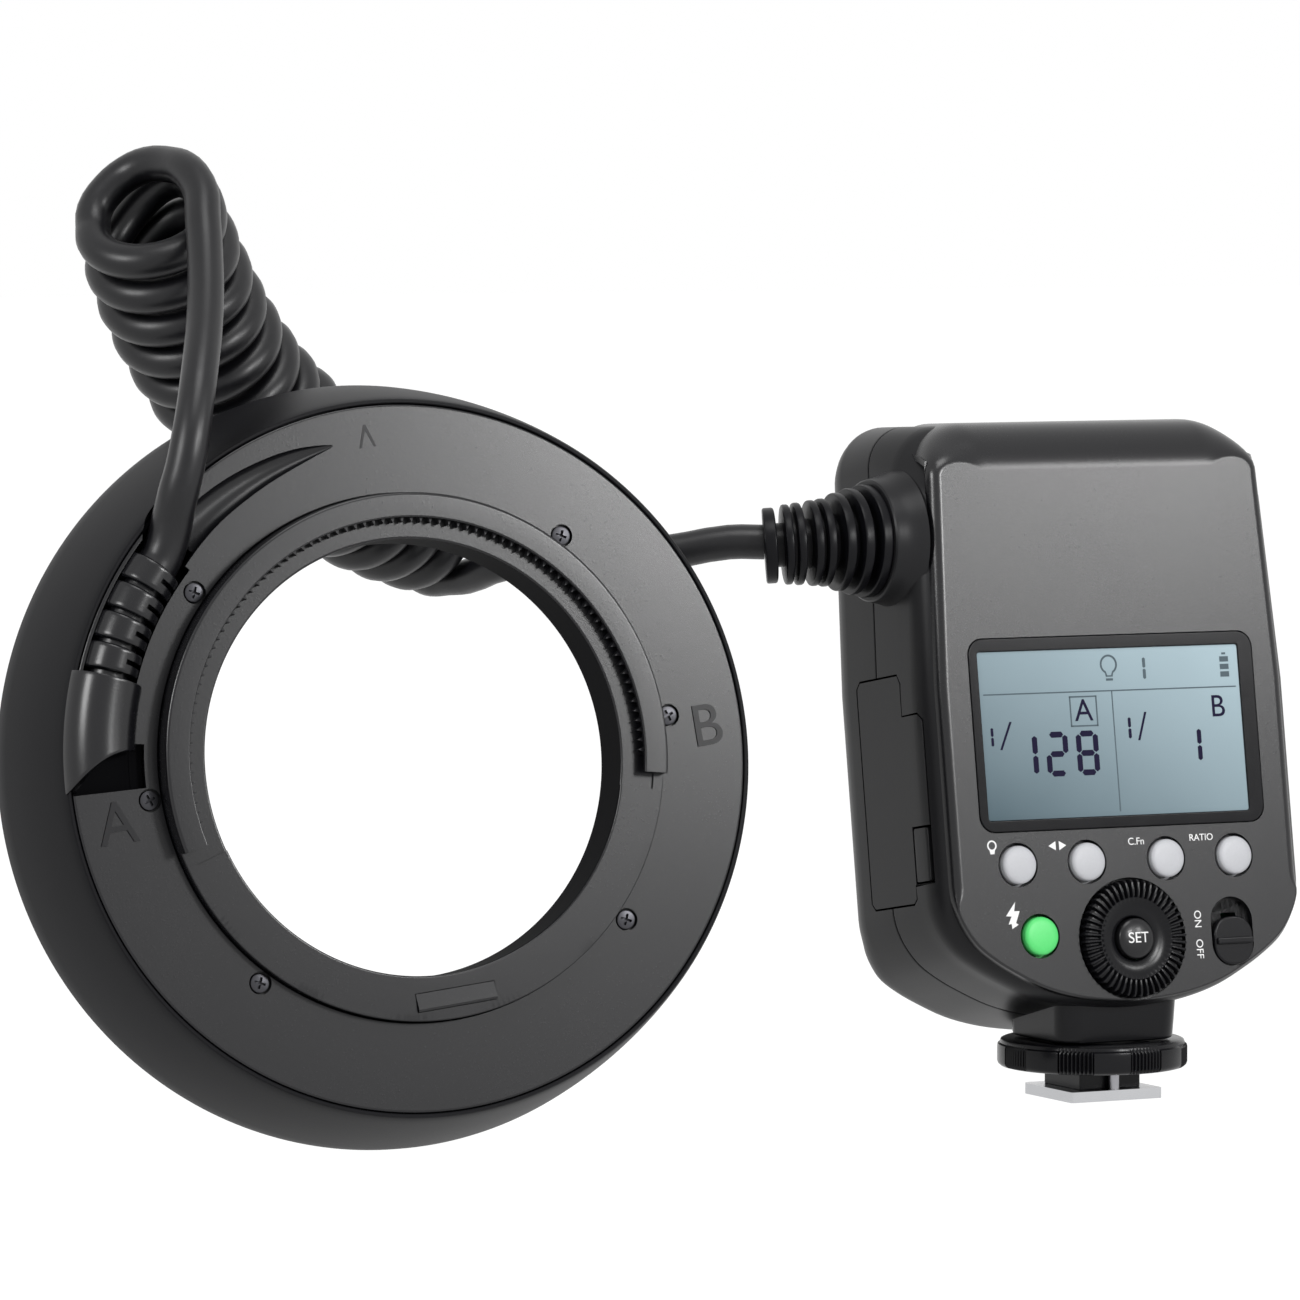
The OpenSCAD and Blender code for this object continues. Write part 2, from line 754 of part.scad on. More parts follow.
module body_solid(i) {
  intersection() {
    along_y(-panel_y, front_y)
      polygon(inset(body_front, i));
    along_x(-half_w, half_w)
      polygon(inset(body_side, i));
    linear_extrude(body_h)
      polygon(inset(body_plan, i));
  }
}

module panel_band() {
  band_z = 1;
  band_top = body_h + 0.5;
  intersection() {
    along_y(-panel_y, seam_y)
      polygon(front_points(panel_w / 2, band_z, band_top, 9));
    along_x(-half_w, half_w)
      difference() {
        polygon(rect_points(-panel_y, front_y, band_z, band_top, [1, 1, 1, 10]));
        polygon(rect_points(3 - panel_y, front_y + 9, -9, body_h - 3, [1, 1, 1, 8]));
      }
  }
}

module cord_boss() {
  translate([-half_w + 2.2, cord_hole_at[0], cord_hole_at[1]])
    rotate([0, -90, 0])
      cylinder(r1 = 12, r2 = 10.6, h = boss_out - half_w + 2.2);
}

// Outline of the battery door in Y and Z, grown by g
module door_outline(g) {
  polygon([[door_front + g, door_low + 1 - g], [door_front + g, door_top - 1 + g],
      [door_front - 1, door_top + g],
      [-4.7, door_top + g], [-5.7 - g, door_top - 1.5], [-5.7 - g, 53.6 + g], [door_back + 1, 53.6 + g],
      [door_back - g, 52.6], [door_back - g, latch_low - 0.4 - g], [-6.4 - g, latch_low - 0.4 - g],
      [-6.4 - g, door_low + 0.8], [-5.4, door_low - g], [door_front - 1, door_low - g]]);
}

module body_whole() {
  body_solid(0);
  panel_band();
  cord_boss();
}

module shell_cuts() {
  along_x(-half_w - 5, -half_w + 6)
    door_outline(move_gap);
  translate([-half_w + 6, cord_hole_at[0], cord_hole_at[1]])
    rotate([0, -90, 0])
      cylinder(r = 5.1, h = 12);
}

module button_places() {
  for (x = button_x)
    translate([x, 0, button_row_z])
      children();
  translate([test_at[0], 0, test_at[1]])
    children();
}

module slot_shape(w, h) {
  round_rect(-w / 2, w / 2, -h / 2, h / 2, [w / 2 - 0.01, w / 2 - 0.01, w / 2 - 0.01, w / 2 - 0.01]);
}

// Outline of the display, grown by g
module lcd_shape(g, r) {
  round_rect(-lcd_w / 2 - g, lcd_w / 2 + g, lcd_z - g, lcd_z + lcd_h + g, [r, r, r, r]);
}

module rear_shell() {
  color(charcoal) at_body() difference() {
    union() {
      difference() {
        intersection() {
          body_whole();
          translate([-60, -60, -10])
            cube([120, 60 + seam_y - fit_gap, body_h + 30]);
        }
        body_solid(shell_wall);
      }
      intersection() {
        for (at = shell_screw_at)
          peg(at, inner_y - 1, seam_y - fit_gap, post_r);
        body_solid(shell_wall / 2);
      }
    }
    shell_cuts();
    along_y(-panel_y - 1, -panel_y + lcd_recess)
      lcd_shape(fit_gap, 3);
    along_y(-panel_y - 1, inner_y + 1)
      lcd_shape(-lcd_frame, 1);
    button_places()
      peg([0, 0], -panel_y - 2, inner_y + 2, button_d / 2 + move_gap);
    peg([0, dial_z], -panel_y - 2, dial_floor_y, dial_d / 2 + move_gap);
    peg([0, dial_z], -panel_y - 2, inner_y + 2, hub_r + run_gap);
    translate([switch_at[0], 0, switch_at[1]]) {
      along_y(-panel_y - 2, switch_floor_y)
        slot_shape(switch_w, switch_h);
      along_y(-panel_y - 2, inner_y + 2)
        square([2.4 + 2 * move_gap, 3 + switch_travel + 2 * move_gap], center = true);
    }
    for (at = shell_screw_at)
      peg(at, inner_y + 4, seam_y + 2, screw_shank_r + run_gap);
  }
}

module front_shell() {
  head_y = front_y - 2.2;
  color(charcoal) at_body() difference() {
    union() {
      difference() {
        intersection() {
          body_whole();
          translate([-60, seam_y, -10])
            cube([120, 60, body_h + 30]);
        }
        body_solid(shell_wall);
      }
      intersection() {
        for (at = shell_screw_at)
          peg(at, seam_y, front_y, post_r + 1);
        body_solid(shell_wall / 2);
      }
    }
    shell_cuts();
    for (at = shell_screw_at) {
      peg(at, seam_y - 1, front_y + 1, screw_shank_r + fit_gap);
      peg(at, head_y - 1.3, front_y + 1, screw_head_d / 2 + 0.25);
    }
  }
}

module shell_screws() {
  head_y = front_y - 3.5;
  color(steel) at_body()
    for (at = shell_screw_at) {
      peg(at, inner_y + 8, head_y + 0.2, screw_shank_r);
      peg(at, head_y + 0.05, head_y + 1.3, screw_head_d / 2);
    }
}

module lcd_window() {
  color("#101114") at_body()
    along_y(-panel_y - 0.15, -panel_y + lcd_recess - 0.05)
      lcd_shape(0, 3);
}

module lcd_panel() {
  color("#9fb2bb") at_body()
    along_y(inner_y + 0.1, board_y)
      lcd_shape(-0.6, 0.6);
}

module round_button(at, paint) {
  color(paint) at_body()
    translate([at[0], 0, at[1]]) {
      difference() {
        peg([0, 0], -panel_y - button_raise, flange_y + 0.1, button_d / 2);
        translate([0, -panel_y - button_raise, 0])
          rotate([90, 0, 0])
            rotate_extrude()
              polygon([[button_d / 2 - 0.5, 0.01], [button_d / 2 + 1, 0.01], [button_d / 2 + 1, -0.5],
                  [button_d / 2, -0.5]]);
      }
      peg([0, 0], flange_y, flange_y + flange_t, button_d / 2 + button_flange);
    }
}

module control_dial() {
  ribs = 48;
  r = dial_d / 2;
  face = -panel_y - 1.7;
  under = face - dial_floor_y + 0.3;
  hub_end = face - inner_y - 0.9;
  hole = set_d / 2 + move_gap;
  color(soft_black) at_body()
    translate([0, 0, dial_z])
      difference() {
        translate([0, face, 0])
          rotate([90, 0, 0])
            rotate_extrude()
              polygon([[hole, -1], [r * 0.62, -0.7], [r * 0.68, 0], [r - 0.7, -0.1], [r, -0.7], [r, under],
                  [hub_r, under], [hub_r, hub_end], [hole, hub_end]]);
        for (i = [0:ribs - 1])
          rotate([0, i * 360 / ribs, 0])
            translate([r * 0.7, face - 0.7, -0.22])
              cube([r, 1.2, 0.44]);
      }
}

module set_button() {
  r = set_d / 2;
  face = -panel_y - 1.8;
  color(soft_black) at_body()
    translate([0, face, dial_z])
      rotate([90, 0, 0])
        rotate_extrude()
          polygon([[0, 0.6], [r * 0.4, 0.52], [r * 0.75, 0.3], [r * 0.93, 0.1], [r, -0.15],
              [r, face - inner_y - 1.2], [0, face - inner_y - 1.2]]);
}

module power_switch() {
  knob_h = switch_h - switch_travel - 2 * move_gap;
  knob_z = -switch_travel / 2;
  color(soft_black) at_body()
    translate([switch_at[0], 0, switch_at[1]]) {
      difference() {
        along_y(-panel_y - 0.9, switch_floor_y - 0.1)
          translate([0, knob_z])
            slot_shape(switch_w - 2 * move_gap, knob_h);
        for (i = [-1:1])
          translate([-switch_w / 2, -panel_y - 1.5, knob_z + i * 1.7 - 0.35])
            cube([switch_w, 1, 0.7]);
      }
      along_y(switch_floor_y - 0.2, inner_y + 0.9)
        translate([0, -switch_travel / 2])
          square([2.4, 3], center = true);
      along_y(inner_y + 0.3, inner_y + 0.9)
        translate([0, -switch_travel / 2])
          square([6, 4.4], center = true);
    }
}

module key_pad() {
  rim = 7;
  color("#8d9096") at_body()
    along_y(board_y - pad_t, board_y) {
      translate([button_x[0] - rim, button_row_z - 5])
        square([button_x[3] - button_x[0] + 2 * rim, 10]);
      translate([test_at[0] - 5, test_at[1] - 5])
        square([6.6, button_row_z - test_at[1]]);
    }
}

module dial_encoder() {
  color("#4d5157") at_body() difference() {
    peg([0, dial_z], board_y - 1.4, board_y, hub_r + 1.6);
    peg([0, dial_z], board_y - 3, board_y + 1, set_d / 2 + move_gap);
  }
}

module main_board() {
  color("#2f6b46") at_body() difference() {
    intersection() {
      along_y(board_y, board_back)
        round_rect(board_edge - half_w, half_w - board_edge, board_low, body_h - board_down, [6, 6, 3, 3]);
      body_solid(shell_wall + 0.4);
    }
    for (at = shell_screw_at)
      peg(at, board_y - 1, board_back + 1, post_r + 0.4);
    along_x(-half_w - 1, -half_w + 6)
      door_outline(1);
  }
}

module main_capacitor() {
  color("#23252b") at_body()
    translate([half_w - capacitor_edge - capacitor_len, board_back + capacitor_r + 0.2,
        body_h - capacitor_down])
      rotate([0, 90, 0])
        difference() {
          cylinder(r = capacitor_r, h = capacitor_len);
          translate([0, 0, capacitor_len - 3.5])
            rotate_extrude()
              polygon([[capacitor_r - 0.7, 0], [capacitor_r + 1, -0.8], [capacitor_r + 1, 0.8]]);
        }
}

// Battery
module tray_box(g) {
  x0 = battery_x0 + 1;
  translate([x0, battery_y0 - tray_gap - g, battery_z - battery_h / 2 - tray_gap - g])
    cube([battery_len + 0.1 + g, battery_t + 2 * (tray_gap + g), battery_h + 2 * (tray_gap + g)]);
}

module battery_tray() {
  leg_edge = [14, 8, 7];
  foot_y = battery_y0 - tray_gap - tray_t / 2;
  color(soft_black) at_body() {
    difference() {
      tray_box(tray_t);
      tray_box(0);
      translate([-5, 0, 0])
        tray_box(0);
    }
    for (x = [battery_x0 + leg_edge[0], battery_x0 + battery_len - leg_edge[1]])
      for (z = [leg_edge[2] - battery_h / 2, battery_h / 2 - leg_edge[2]])
        peg([x, battery_z + z], board_back + 0.1, foot_y, 2);
  }
}

module battery_contacts() {
  x1 = battery_x0 + 1 + battery_len + 0.1;
  color("#c8a552") at_body()
    for (i = [-1:1])
      translate([x1 - 0.8, battery_ym - 2, battery_z + i * 9 - 2])
        cube([0.8, 4, 4]);
}

module battery_pack() {
  color(charcoal) at_body() difference() {
    union() {
      translate([battery_x0, battery_y0, battery_z - battery_h / 2])
        cube([battery_len, battery_t, battery_h]);
      intersection() {
        body_solid(0);
        along_x(-half_w - 1, battery_x0 + 0.5)
          door_outline(0);
      }
    }
    along_x(-half_w - 1, -half_w + latch_t + latch_travel + 0.4) {
      translate([latch_back - move_gap, latch_low - move_gap])
        square([latch_front - latch_back + 2 * move_gap, latch_top - latch_low + 2 * move_gap]);
      translate([door_back - 2, latch_low - move_gap])
        square([latch_front - door_back + 2, latch_top - latch_low + 2 * move_gap]);
    }
  }
}

module battery_latch() {
  color(charcoal) at_body()
    intersection() {
      body_solid(0.05);
      along_x(-half_w - 1, -half_w + latch_t)
        translate([latch_back, latch_low])
          square([latch_front - latch_back, latch_top - latch_low]);
    }
}

// Strain relief of the controller: discs that grow towards the shell
module controller_gland() {
  discs = 8;
  disc_t = 1.4;
  pitch = (gland_len - disc_t) / (discs - 1);
  color(soft_black) at_body()
    translate([-boss_out, cord_hole_at[0], cord_hole_at[1]])
      rotate([0, -90, 0]) {
        for (i = [0:discs - 1])
          translate([0, 0, i * pitch])
            cylinder(r = 10 - i * 4 / (discs - 1), h = disc_t);
        cylinder(r1 = 7.2, r2 = 4.4, h = gland_len);
        translate([0, 0, -4])
          cylinder(r = 5, h = 4.5);
      }
}

// Shoe foot
module foot_neck() {
  color(soft_black) difference() {
    union() {
      translate([0, 0, neck_z])
        linear_extrude(body_base_z + 8 - neck_z)
          round_rect(-neck_w / 2, neck_w / 2, -neck_len / 2, neck_len / 2, [4, 4, 4, 4]);
      translate([0, 0, boss_z])
        cylinder(r = boss_r, h = neck_z - boss_z + 1);
      translate([-column_w / 2, -column_len / 2, shoe_t])
        cube([column_w, column_len, boss_z - shoe_t + 1]);
    }
    at_body()
      body_grown();
    translate([0, 0, -1])
      cylinder(r = contact_d / 2 + run_gap, h = 9);
    translate([0, 0, -1])
      cylinder(r = collar_r + move_gap, h = 1 + shoe_t + collar_t + contact_travel + 0.5);
    foot_screw_places()
      cylinder(r = 0.8 + run_gap, h = 7);
  }
}

// The body's lower end, a little larger, to seat the neck on
module body_grown() {
  along_y(-60, 60)
    polygon(inset(body_front, -0.1));
}

module foot_screw_places() {
  for (x = [-1, 1])
    for (y = [-1, 1])
      translate([x * (column_w / 2 - 1.9), y * (column_len / 2 - 1.9), 0])
        children();
}

module foot_screws() {
  color(steel)
    foot_screw_places()
      difference() {
        union() {
          cylinder(r1 = 1.5, r2 = 0.8, h = 0.8);
          cylinder(r = 0.8, h = 6);
        }
        for (turn = [0, 90])
          rotate([0, 0, turn])
            translate([-0.8, -0.15, -0.5])
              cube([1.6, 0.3, 0.9]);
      }
}

module shoe_plate() {
  color("#d9dbdf") difference() {
    linear_extrude(shoe_t)
      difference() {
        round_rect(-shoe_w / 2, shoe_w / 2, -shoe_len / 2, shoe_len / 2, [0.6, 0.6, 1.6, 1.6]);
        translate([0, lock_pin_y])
          circle(lock_pin_r + run_gap);
        circle(contact_d / 2 + run_gap);
      }
    foot_screw_places() {
      translate([0, 0, -1])
        cylinder(r = 0.8 + fit_gap, h = 4);
      translate([0, 0, -0.1])
        cylinder(r1 = 1.75, r2 = 0.8 + fit_gap, h = 1);
    }
  }
}

module lock_wheel() {
  lobes = 8;
  r = wheel_d / 2;
  color(soft_black)
    translate([0, 0, wheel_z])
      difference() {
        rotate_extrude()
          polygon([[boss_r + run_gap, 0], [r - 0.8, 0], [r, 0.8], [r, wheel_h - 0.8], [r - 0.8, wheel_h],
              [boss_r + run_gap, wheel_h]]);
        for (i = [0:lobes - 1])
          for (k = [-3:3])
            rotate([0, 0, i * 360 / lobes + k * 3.4])
              translate([r, 0, -1])
                cylinder(r = 0.42, h = wheel_h + 2, $fn = 16);
        translate([0, 0, -1])
          cylinder(r = washer_r + move_gap, h = 1 + washer_t + 0.4);
      }
}

module lock_washer() {
  color(steel)
    translate([0, 0, wheel_z + 0.1])
      linear_extrude(washer_t)
        difference() {
          circle(washer_r);
          square([column_w + 2 * move_gap, column_len + 2 * move_gap], center = true);
        }
}

module lock_pin() {
  color(steel)
    translate([0, lock_pin_y, 0.5])
      cylinder(r = lock_pin_r, h = wheel_z + 0.1 - 0.5);
}

module contact_pin() {
  r = contact_d / 2;
  low = shoe_t + 0.1;
  color("#c8a552")
    rotate_extrude()
      polygon([[0, -0.5], [r * 0.45, -0.42], [r * 0.8, -0.2], [r, 0.1], [r, low], [collar_r, low],
          [collar_r, low + collar_t], [r, low + collar_t], [r, 4.5], [0, 4.5]]);
}

module pin_spring() {
  color(steel)
    translate([0, 0, 4.8])
      tube(spring_points(contact_d / 2 - 0.35, 2.8, 4), 0.4, 6);
}

ring_housing();
ring_rear_cover();
adapter_seat();
click_ring();
adapter_catch();
ring_screws();
front_bezel();
diffuser(180);  // diffuser_a
diffuser(0);  // diffuser_b
reflector(180);  // reflector_a
reflector(0);  // reflector_b
flash_tube(180);  // flash_tube_a
flash_tube(0);  // flash_tube_b
tube_grommets();
ring_board();
modelling_leds();
cord_bed();
gland_bridge();
ring_gland();
cord_ring_lead();
cord_curls();
cord_controller_lead();
controller_gland();
rear_shell();
front_shell();
lcd_window();
lcd_panel();
round_button([button_x[0], button_row_z], light_grey);  // light_button
round_button([button_x[1], button_row_z], light_grey);  // select_button
round_button([button_x[2], button_row_z], light_grey);  // function_button
round_button([button_x[3], button_row_z], light_grey);  // ratio_button
round_button(test_at, "#35d07a");  // test_button
control_dial();
set_button();
power_switch();
key_pad();
dial_encoder();
main_board();
main_capacitor();
battery_tray();
battery_contacts();
battery_pack();
battery_latch();
shell_screws();
foot_neck();
lock_wheel();
lock_washer();
lock_pin();
shoe_plate();
contact_pin();
pin_spring();
foot_screws();
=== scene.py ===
"""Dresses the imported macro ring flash: cord, ring head, controller, foot, finishes, studio."""
import json
import logging
import math
from dataclasses import dataclass, field
from enum import Enum
from typing import Callable, Sequence

import bpy
from mathutils import Matrix, Vector

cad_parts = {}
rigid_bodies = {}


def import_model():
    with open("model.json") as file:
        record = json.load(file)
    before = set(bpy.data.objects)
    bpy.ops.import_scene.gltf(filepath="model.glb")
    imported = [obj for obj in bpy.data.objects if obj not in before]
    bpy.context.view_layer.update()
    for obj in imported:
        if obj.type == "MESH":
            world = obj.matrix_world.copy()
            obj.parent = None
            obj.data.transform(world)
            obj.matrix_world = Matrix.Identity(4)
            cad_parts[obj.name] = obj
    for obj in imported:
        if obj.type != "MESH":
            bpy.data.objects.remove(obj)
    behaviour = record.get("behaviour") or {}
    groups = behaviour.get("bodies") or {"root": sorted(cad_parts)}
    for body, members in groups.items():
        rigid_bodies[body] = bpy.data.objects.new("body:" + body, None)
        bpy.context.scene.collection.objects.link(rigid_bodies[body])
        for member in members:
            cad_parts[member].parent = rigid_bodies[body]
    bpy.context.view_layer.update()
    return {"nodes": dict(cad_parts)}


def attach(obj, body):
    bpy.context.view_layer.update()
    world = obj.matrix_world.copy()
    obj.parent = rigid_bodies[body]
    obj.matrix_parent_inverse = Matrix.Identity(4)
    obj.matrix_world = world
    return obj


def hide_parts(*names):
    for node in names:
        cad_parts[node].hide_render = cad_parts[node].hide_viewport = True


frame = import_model()

log = logging.getLogger("ring_flash")

MM = 0.001
# Most of an edge that one rounding may take, and how far letters are sunk into their ground
EDGE_SHARE = 0.49
LETTER_SINK = 0.02
Point = tuple[float, float]
Place = tuple[float, float, float]
Colour = tuple[float, float, float]
Step = Callable[[float], Point]
Piece = bpy.types.Object


def turned(axis: str, degrees: float) -> Matrix:
    """A turn about one axis."""
    return Matrix.Rotation(math.radians(degrees), 4, axis)


def moved(x: float, y: float, z: float) -> Matrix:
    """A move without a turn."""
    return Matrix.Translation(Vector((x, y, z)))


def aimed(at: Sequence[float], way: Vector, axis: str) -> Matrix:
    """A move to a point, with a turn that lays one axis along a way."""
    return Matrix.Translation(at) @ way.to_track_quat(axis, "Y").to_matrix().to_4x4()


def sideways(start: float) -> Matrix:
    """A turn that lays a prism along X from its start, the outline's x into the depth."""
    return Matrix(((0, 0, 1, start), (0, 1, 0, 0), (1, 0, 0, 0), (0, 0, 0, 1)))


def polar(radius: float, degrees: float, height: float = 0.0) -> Vector:
    """A point at a distance from Z, at an angle and a height."""
    turn = math.radians(degrees)
    return Vector((radius * math.cos(turn), radius * math.sin(turn), height))


# Places of the three sub-assemblies: millimetres in, metres of the row frame out
FOOT = Matrix.Scale(MM, 4)
RING = FOOT @ moved(-147, -27, 67.6) @ turned("Z", -6.4) @ turned("X", 82) @ turned("Z", 7.3)
BODY = FOOT @ moved(0, 0, 15) @ turned("X", -9)
# The panel's own frame: x to the right, y up the panel, z out of it
PANEL = BODY @ turned("X", 90)


class Body(Enum):
    """The CAD bodies that pieces ride on."""

    FLASH = "flash"
    LIGHT_BUTTON = "light_button"
    SELECT_BUTTON = "select_button"
    FUNCTION_BUTTON = "function_button"
    RATIO_BUTTON = "ratio_button"
    TEST_BUTTON = "test_button"
    CONTROL_DIAL = "control_dial"
    SET_BUTTON = "set_button"
    POWER_SWITCH = "power_switch"
    BATTERY = "battery"
    BATTERY_LATCH = "battery_latch"
    LOCK_WHEEL = "lock_wheel"


class Operation(Enum):
    """Ways to work one piece with another."""

    UNION = "UNION"
    DIFFERENCE = "DIFFERENCE"
    INTERSECT = "INTERSECT"


class Slot(Enum):
    """The record's material slots."""

    CHARCOAL = "charcoal"
    SOFT_BLACK = "soft_black"
    RUBBER = "rubber"
    WINDOW = "window"
    DISPLAY = "display"
    LIGHT_GREY = "light_grey"
    GREEN = "green"
    STEEL = "steel"


def arc(centre: Point, radius: float, start: float, end: float, steps: int) -> list[Point]:
    """Points along an arc from one angle to another in degrees, both ends included."""
    turns = [math.radians(start + (end - start) * k / steps) for k in range(steps + 1)]
    return [(centre[0] + radius * math.cos(a), centre[1] + radius * math.sin(a)) for a in turns]


def rounded(corners: Sequence[tuple[float, float, float]], steps: int = 5) -> list[Point]:
    """Rounds the corners of a closed outline.

    Args:
        corners: (x, y, radius) of each corner in order.
        steps: Chords of each rounding.

    Returns:
        The outline's points in the same order.
    """
    points: list[Point] = []
    count = len(corners)
    for k, (x, y, radius) in enumerate(corners):
        here = Vector((x, y))
        before = Vector(corners[k - 1][:2]) - here
        after = Vector(corners[(k + 1) % count][:2]) - here
        if radius <= 0:
            points.append((x, y))
            continue
        half = before.angle(after) / 2
        reach = min(radius / math.tan(half), EDGE_SHARE * before.length, EDGE_SHARE * after.length)
        first = here + before.normalized() * reach
        last = here + after.normalized() * reach
        for step in range(steps + 1):
            t = step / steps
            at = first * (1 - t) ** 2 + here * 2 * t * (1 - t) + last * t ** 2
            points.append((at.x, at.y))
    return points


def box_outline(x0: float, x1: float, y0: float, y1: float, radius: float,
                steps: int = 8) -> list[Point]:
    """A rectangle with round corners, anticlockwise; steps are the chords of each corner."""
    corners = ((x0 + radius, y0 + radius, 180), (x1 - radius, y0 + radius, 270),
               (x1 - radius, y1 - radius, 0), (x0 + radius, y1 - radius, 90))
    return [point for x, y, start in corners
            for point in arc((x, y), radius, start, start + 90, steps)]


def flowing(points: Sequence[Point], steps: int) -> list[Point]:
    """A smooth line through points; the first and last only guide it.

    Args:
        points: The points to pass through.
        steps: Chords between neighbours.

    Returns:
        The finer line from the second point to the last but one.
    """
    line: list[Point] = []
    for a, b, c, d in zip(points, points[1:], points[2:], points[3:]):
        for step in range(steps):
            t = step / steps
            line.append(tuple(
                0.5 * (2 * b[i] + (c[i] - a[i]) * t
                       + (2 * a[i] - 5 * b[i] + 4 * c[i] - d[i]) * t * t
                       + (3 * b[i] - a[i] - 3 * c[i] + d[i]) * t ** 3) for i in (0, 1)))
    line.append(tuple(points[-2]))
    return line


def outward(points: Sequence[Point]) -> list[Vector]:
    """Unit normals of a closed anticlockwise outline, one for each point."""
    count = len(points)
    ways = [Vector(points[(k + 1) % count]) - Vector(points[k - 1]) for k in range(count)]
    return [Vector((way.y, -way.x)).normalized() for way in ways]


def eased(value: float, low: float, high: float) -> float:
    """A smooth step from 0 at low to 1 at high."""
    t = min(max((value - low) / (high - low), 0.0), 1.0)
    return t * t * (3 - 2 * t)


def between(ends: Point, share: float) -> float:
    """A number at a share of the way from the first end to the second."""
    return ends[0] + (ends[1] - ends[0]) * share


class Bench:
    """Modelling steps with Blender's operators, in millimetres, on one piece at a time."""

    @staticmethod
    def clear() -> None:
        """Leaves edit mode and deselects everything."""
        if bpy.context.mode != "OBJECT":
            bpy.ops.object.mode_set(mode="OBJECT")
        bpy.ops.object.select_all(action="DESELECT")

    @staticmethod
    def pick(piece: Piece) -> Piece:
        """Selects one piece and nothing else."""
        Bench.clear()
        piece.select_set(True)
        bpy.context.view_layer.objects.active = piece
        return piece

    @staticmethod
    def close(piece: Piece, fill: bool) -> Piece:
        """Merges doubles, fills open ends and turns the faces outwards.

        Args:
            piece: The piece.
            fill: True where open ends get a face.

        Returns:
            The same piece in object mode.
        """
        Bench.pick(piece)
        bpy.ops.object.mode_set(mode="EDIT")
        bpy.ops.mesh.select_all(action="SELECT")
        bpy.ops.mesh.remove_doubles(threshold=1e-4)
        if fill:
            bpy.ops.mesh.fill_holes(sides=0)
        bpy.ops.mesh.select_all(action="SELECT")
        bpy.ops.mesh.normals_make_consistent(inside=False)
        bpy.ops.object.mode_set(mode="OBJECT")
        return piece

    @staticmethod
    def loop(name: str, points: Sequence[Sequence[float]], filled: bool) -> Piece:
        """A circle whose points are set to a closed outline.

        Args:
            name: The piece's name.
            points: The outline's points, (x, y, z).
            filled: True for a face, False for edges alone.

        Returns:
            The new piece.
        """
        Bench.clear()
        bpy.ops.mesh.primitive_circle_add(
            vertices=len(points), radius=1.0, fill_type="NGON" if filled else "NOTHING")
        piece = bpy.context.active_object
        piece.name = piece.data.name = name
        for vertex, point in zip(piece.data.vertices, points):
            vertex.co = point
        return piece

    @staticmethod
    def prism(name: str, outline: Sequence[Point], low: float, high: float) -> Piece:
        """Extrudes an outline along Z.

        Args:
            name: The piece's name.
            outline: The outline in X and Y.
            low: Height of the lower face.
            high: Height of the upper face.

        Returns:
            The new piece.
        """
        piece = Bench.loop(name, [(x, y, low) for x, y in outline], True)
        bpy.ops.object.mode_set(mode="EDIT")
        bpy.ops.mesh.select_all(action="SELECT")
        bpy.ops.mesh.extrude_region_move(TRANSFORM_OT_translate={"value": (0, 0, high - low)})
        return Bench.close(piece, False)

    @staticmethod
    def lathe(name: str, profile: Sequence[Point], start: float = 0.0, sweep: float = 360.0,
              steps: int = 192) -> Piece:
        """Spins a closed profile about Z.

        Args:
            name: The piece's name.
            profile: (radius, height) of its points.
            start: Angle at which the spin starts, in degrees.
            sweep: Angle of the spin.
            steps: Steps of the spin.

        Returns:
            The new piece.
        """
        piece = Bench.loop(name, [polar(r, start, h) for r, h in profile], False)
        bpy.ops.object.mode_set(mode="EDIT")
        bpy.ops.mesh.select_all(action="SELECT")
        bpy.ops.mesh.spin(steps=steps, angle=-math.radians(sweep), center=(0, 0, 0), axis=(0, 0, 1))
        return Bench.close(piece, sweep < 360)

    @staticmethod
    def loft(name: str, rows: Sequence[Sequence[Sequence[float]]]) -> Piece:
        """Lays a grid over rows of points, each row a closed loop, and closes both ends.

        Args:
            name: The piece's name.
            rows: The rows, all of one count.

        Returns:
            The new piece.
        """
        across = len(rows[0])
        Bench.clear()
        bpy.ops.mesh.primitive_grid_add(x_subdivisions=across, y_subdivisions=len(rows) - 1, size=2)
        piece = bpy.context.active_object
        piece.name = piece.data.name = name
        for index, vertex in enumerate(piece.data.vertices):
            row, column = divmod(index, across + 1)
            vertex.co = rows[row][column % across]
        return Bench.close(piece, True)

    @staticmethod
    def place(piece: Piece, matrix: Matrix) -> Piece:
        """Puts the piece's place into its mesh."""
        Bench.pick(piece)
        piece.matrix_world = matrix
        bpy.ops.object.transform_apply(location=True, rotation=True, scale=True)
        return piece

    @staticmethod
    def apply(piece: Piece, kind: str, **settings: object) -> Piece:
        """Adds a modifier with its settings and applies it."""
        Bench.pick(piece)
        modifier = piece.modifiers.new(kind.lower(), kind)
        for key, value in settings.items():
            setattr(modifier, key, value)
        bpy.ops.object.modifier_apply(modifier=modifier.name)
        return piece

    @staticmethod
    def boolean(piece: Piece, operation: Operation, *others: Piece) -> Piece:
        """Joins, cuts or intersects a piece with others, which are used up.

        Args:
            piece: The piece that is changed.
            operation: What is done with each of the others.
            others: The pieces it is worked with.

        Returns:
            The changed piece.
        """
        for other in others:
            Bench.apply(piece, "BOOLEAN", operation=operation.value, object=other, solver="EXACT")
            bpy.data.objects.remove(other, do_unlink=True)
        return piece

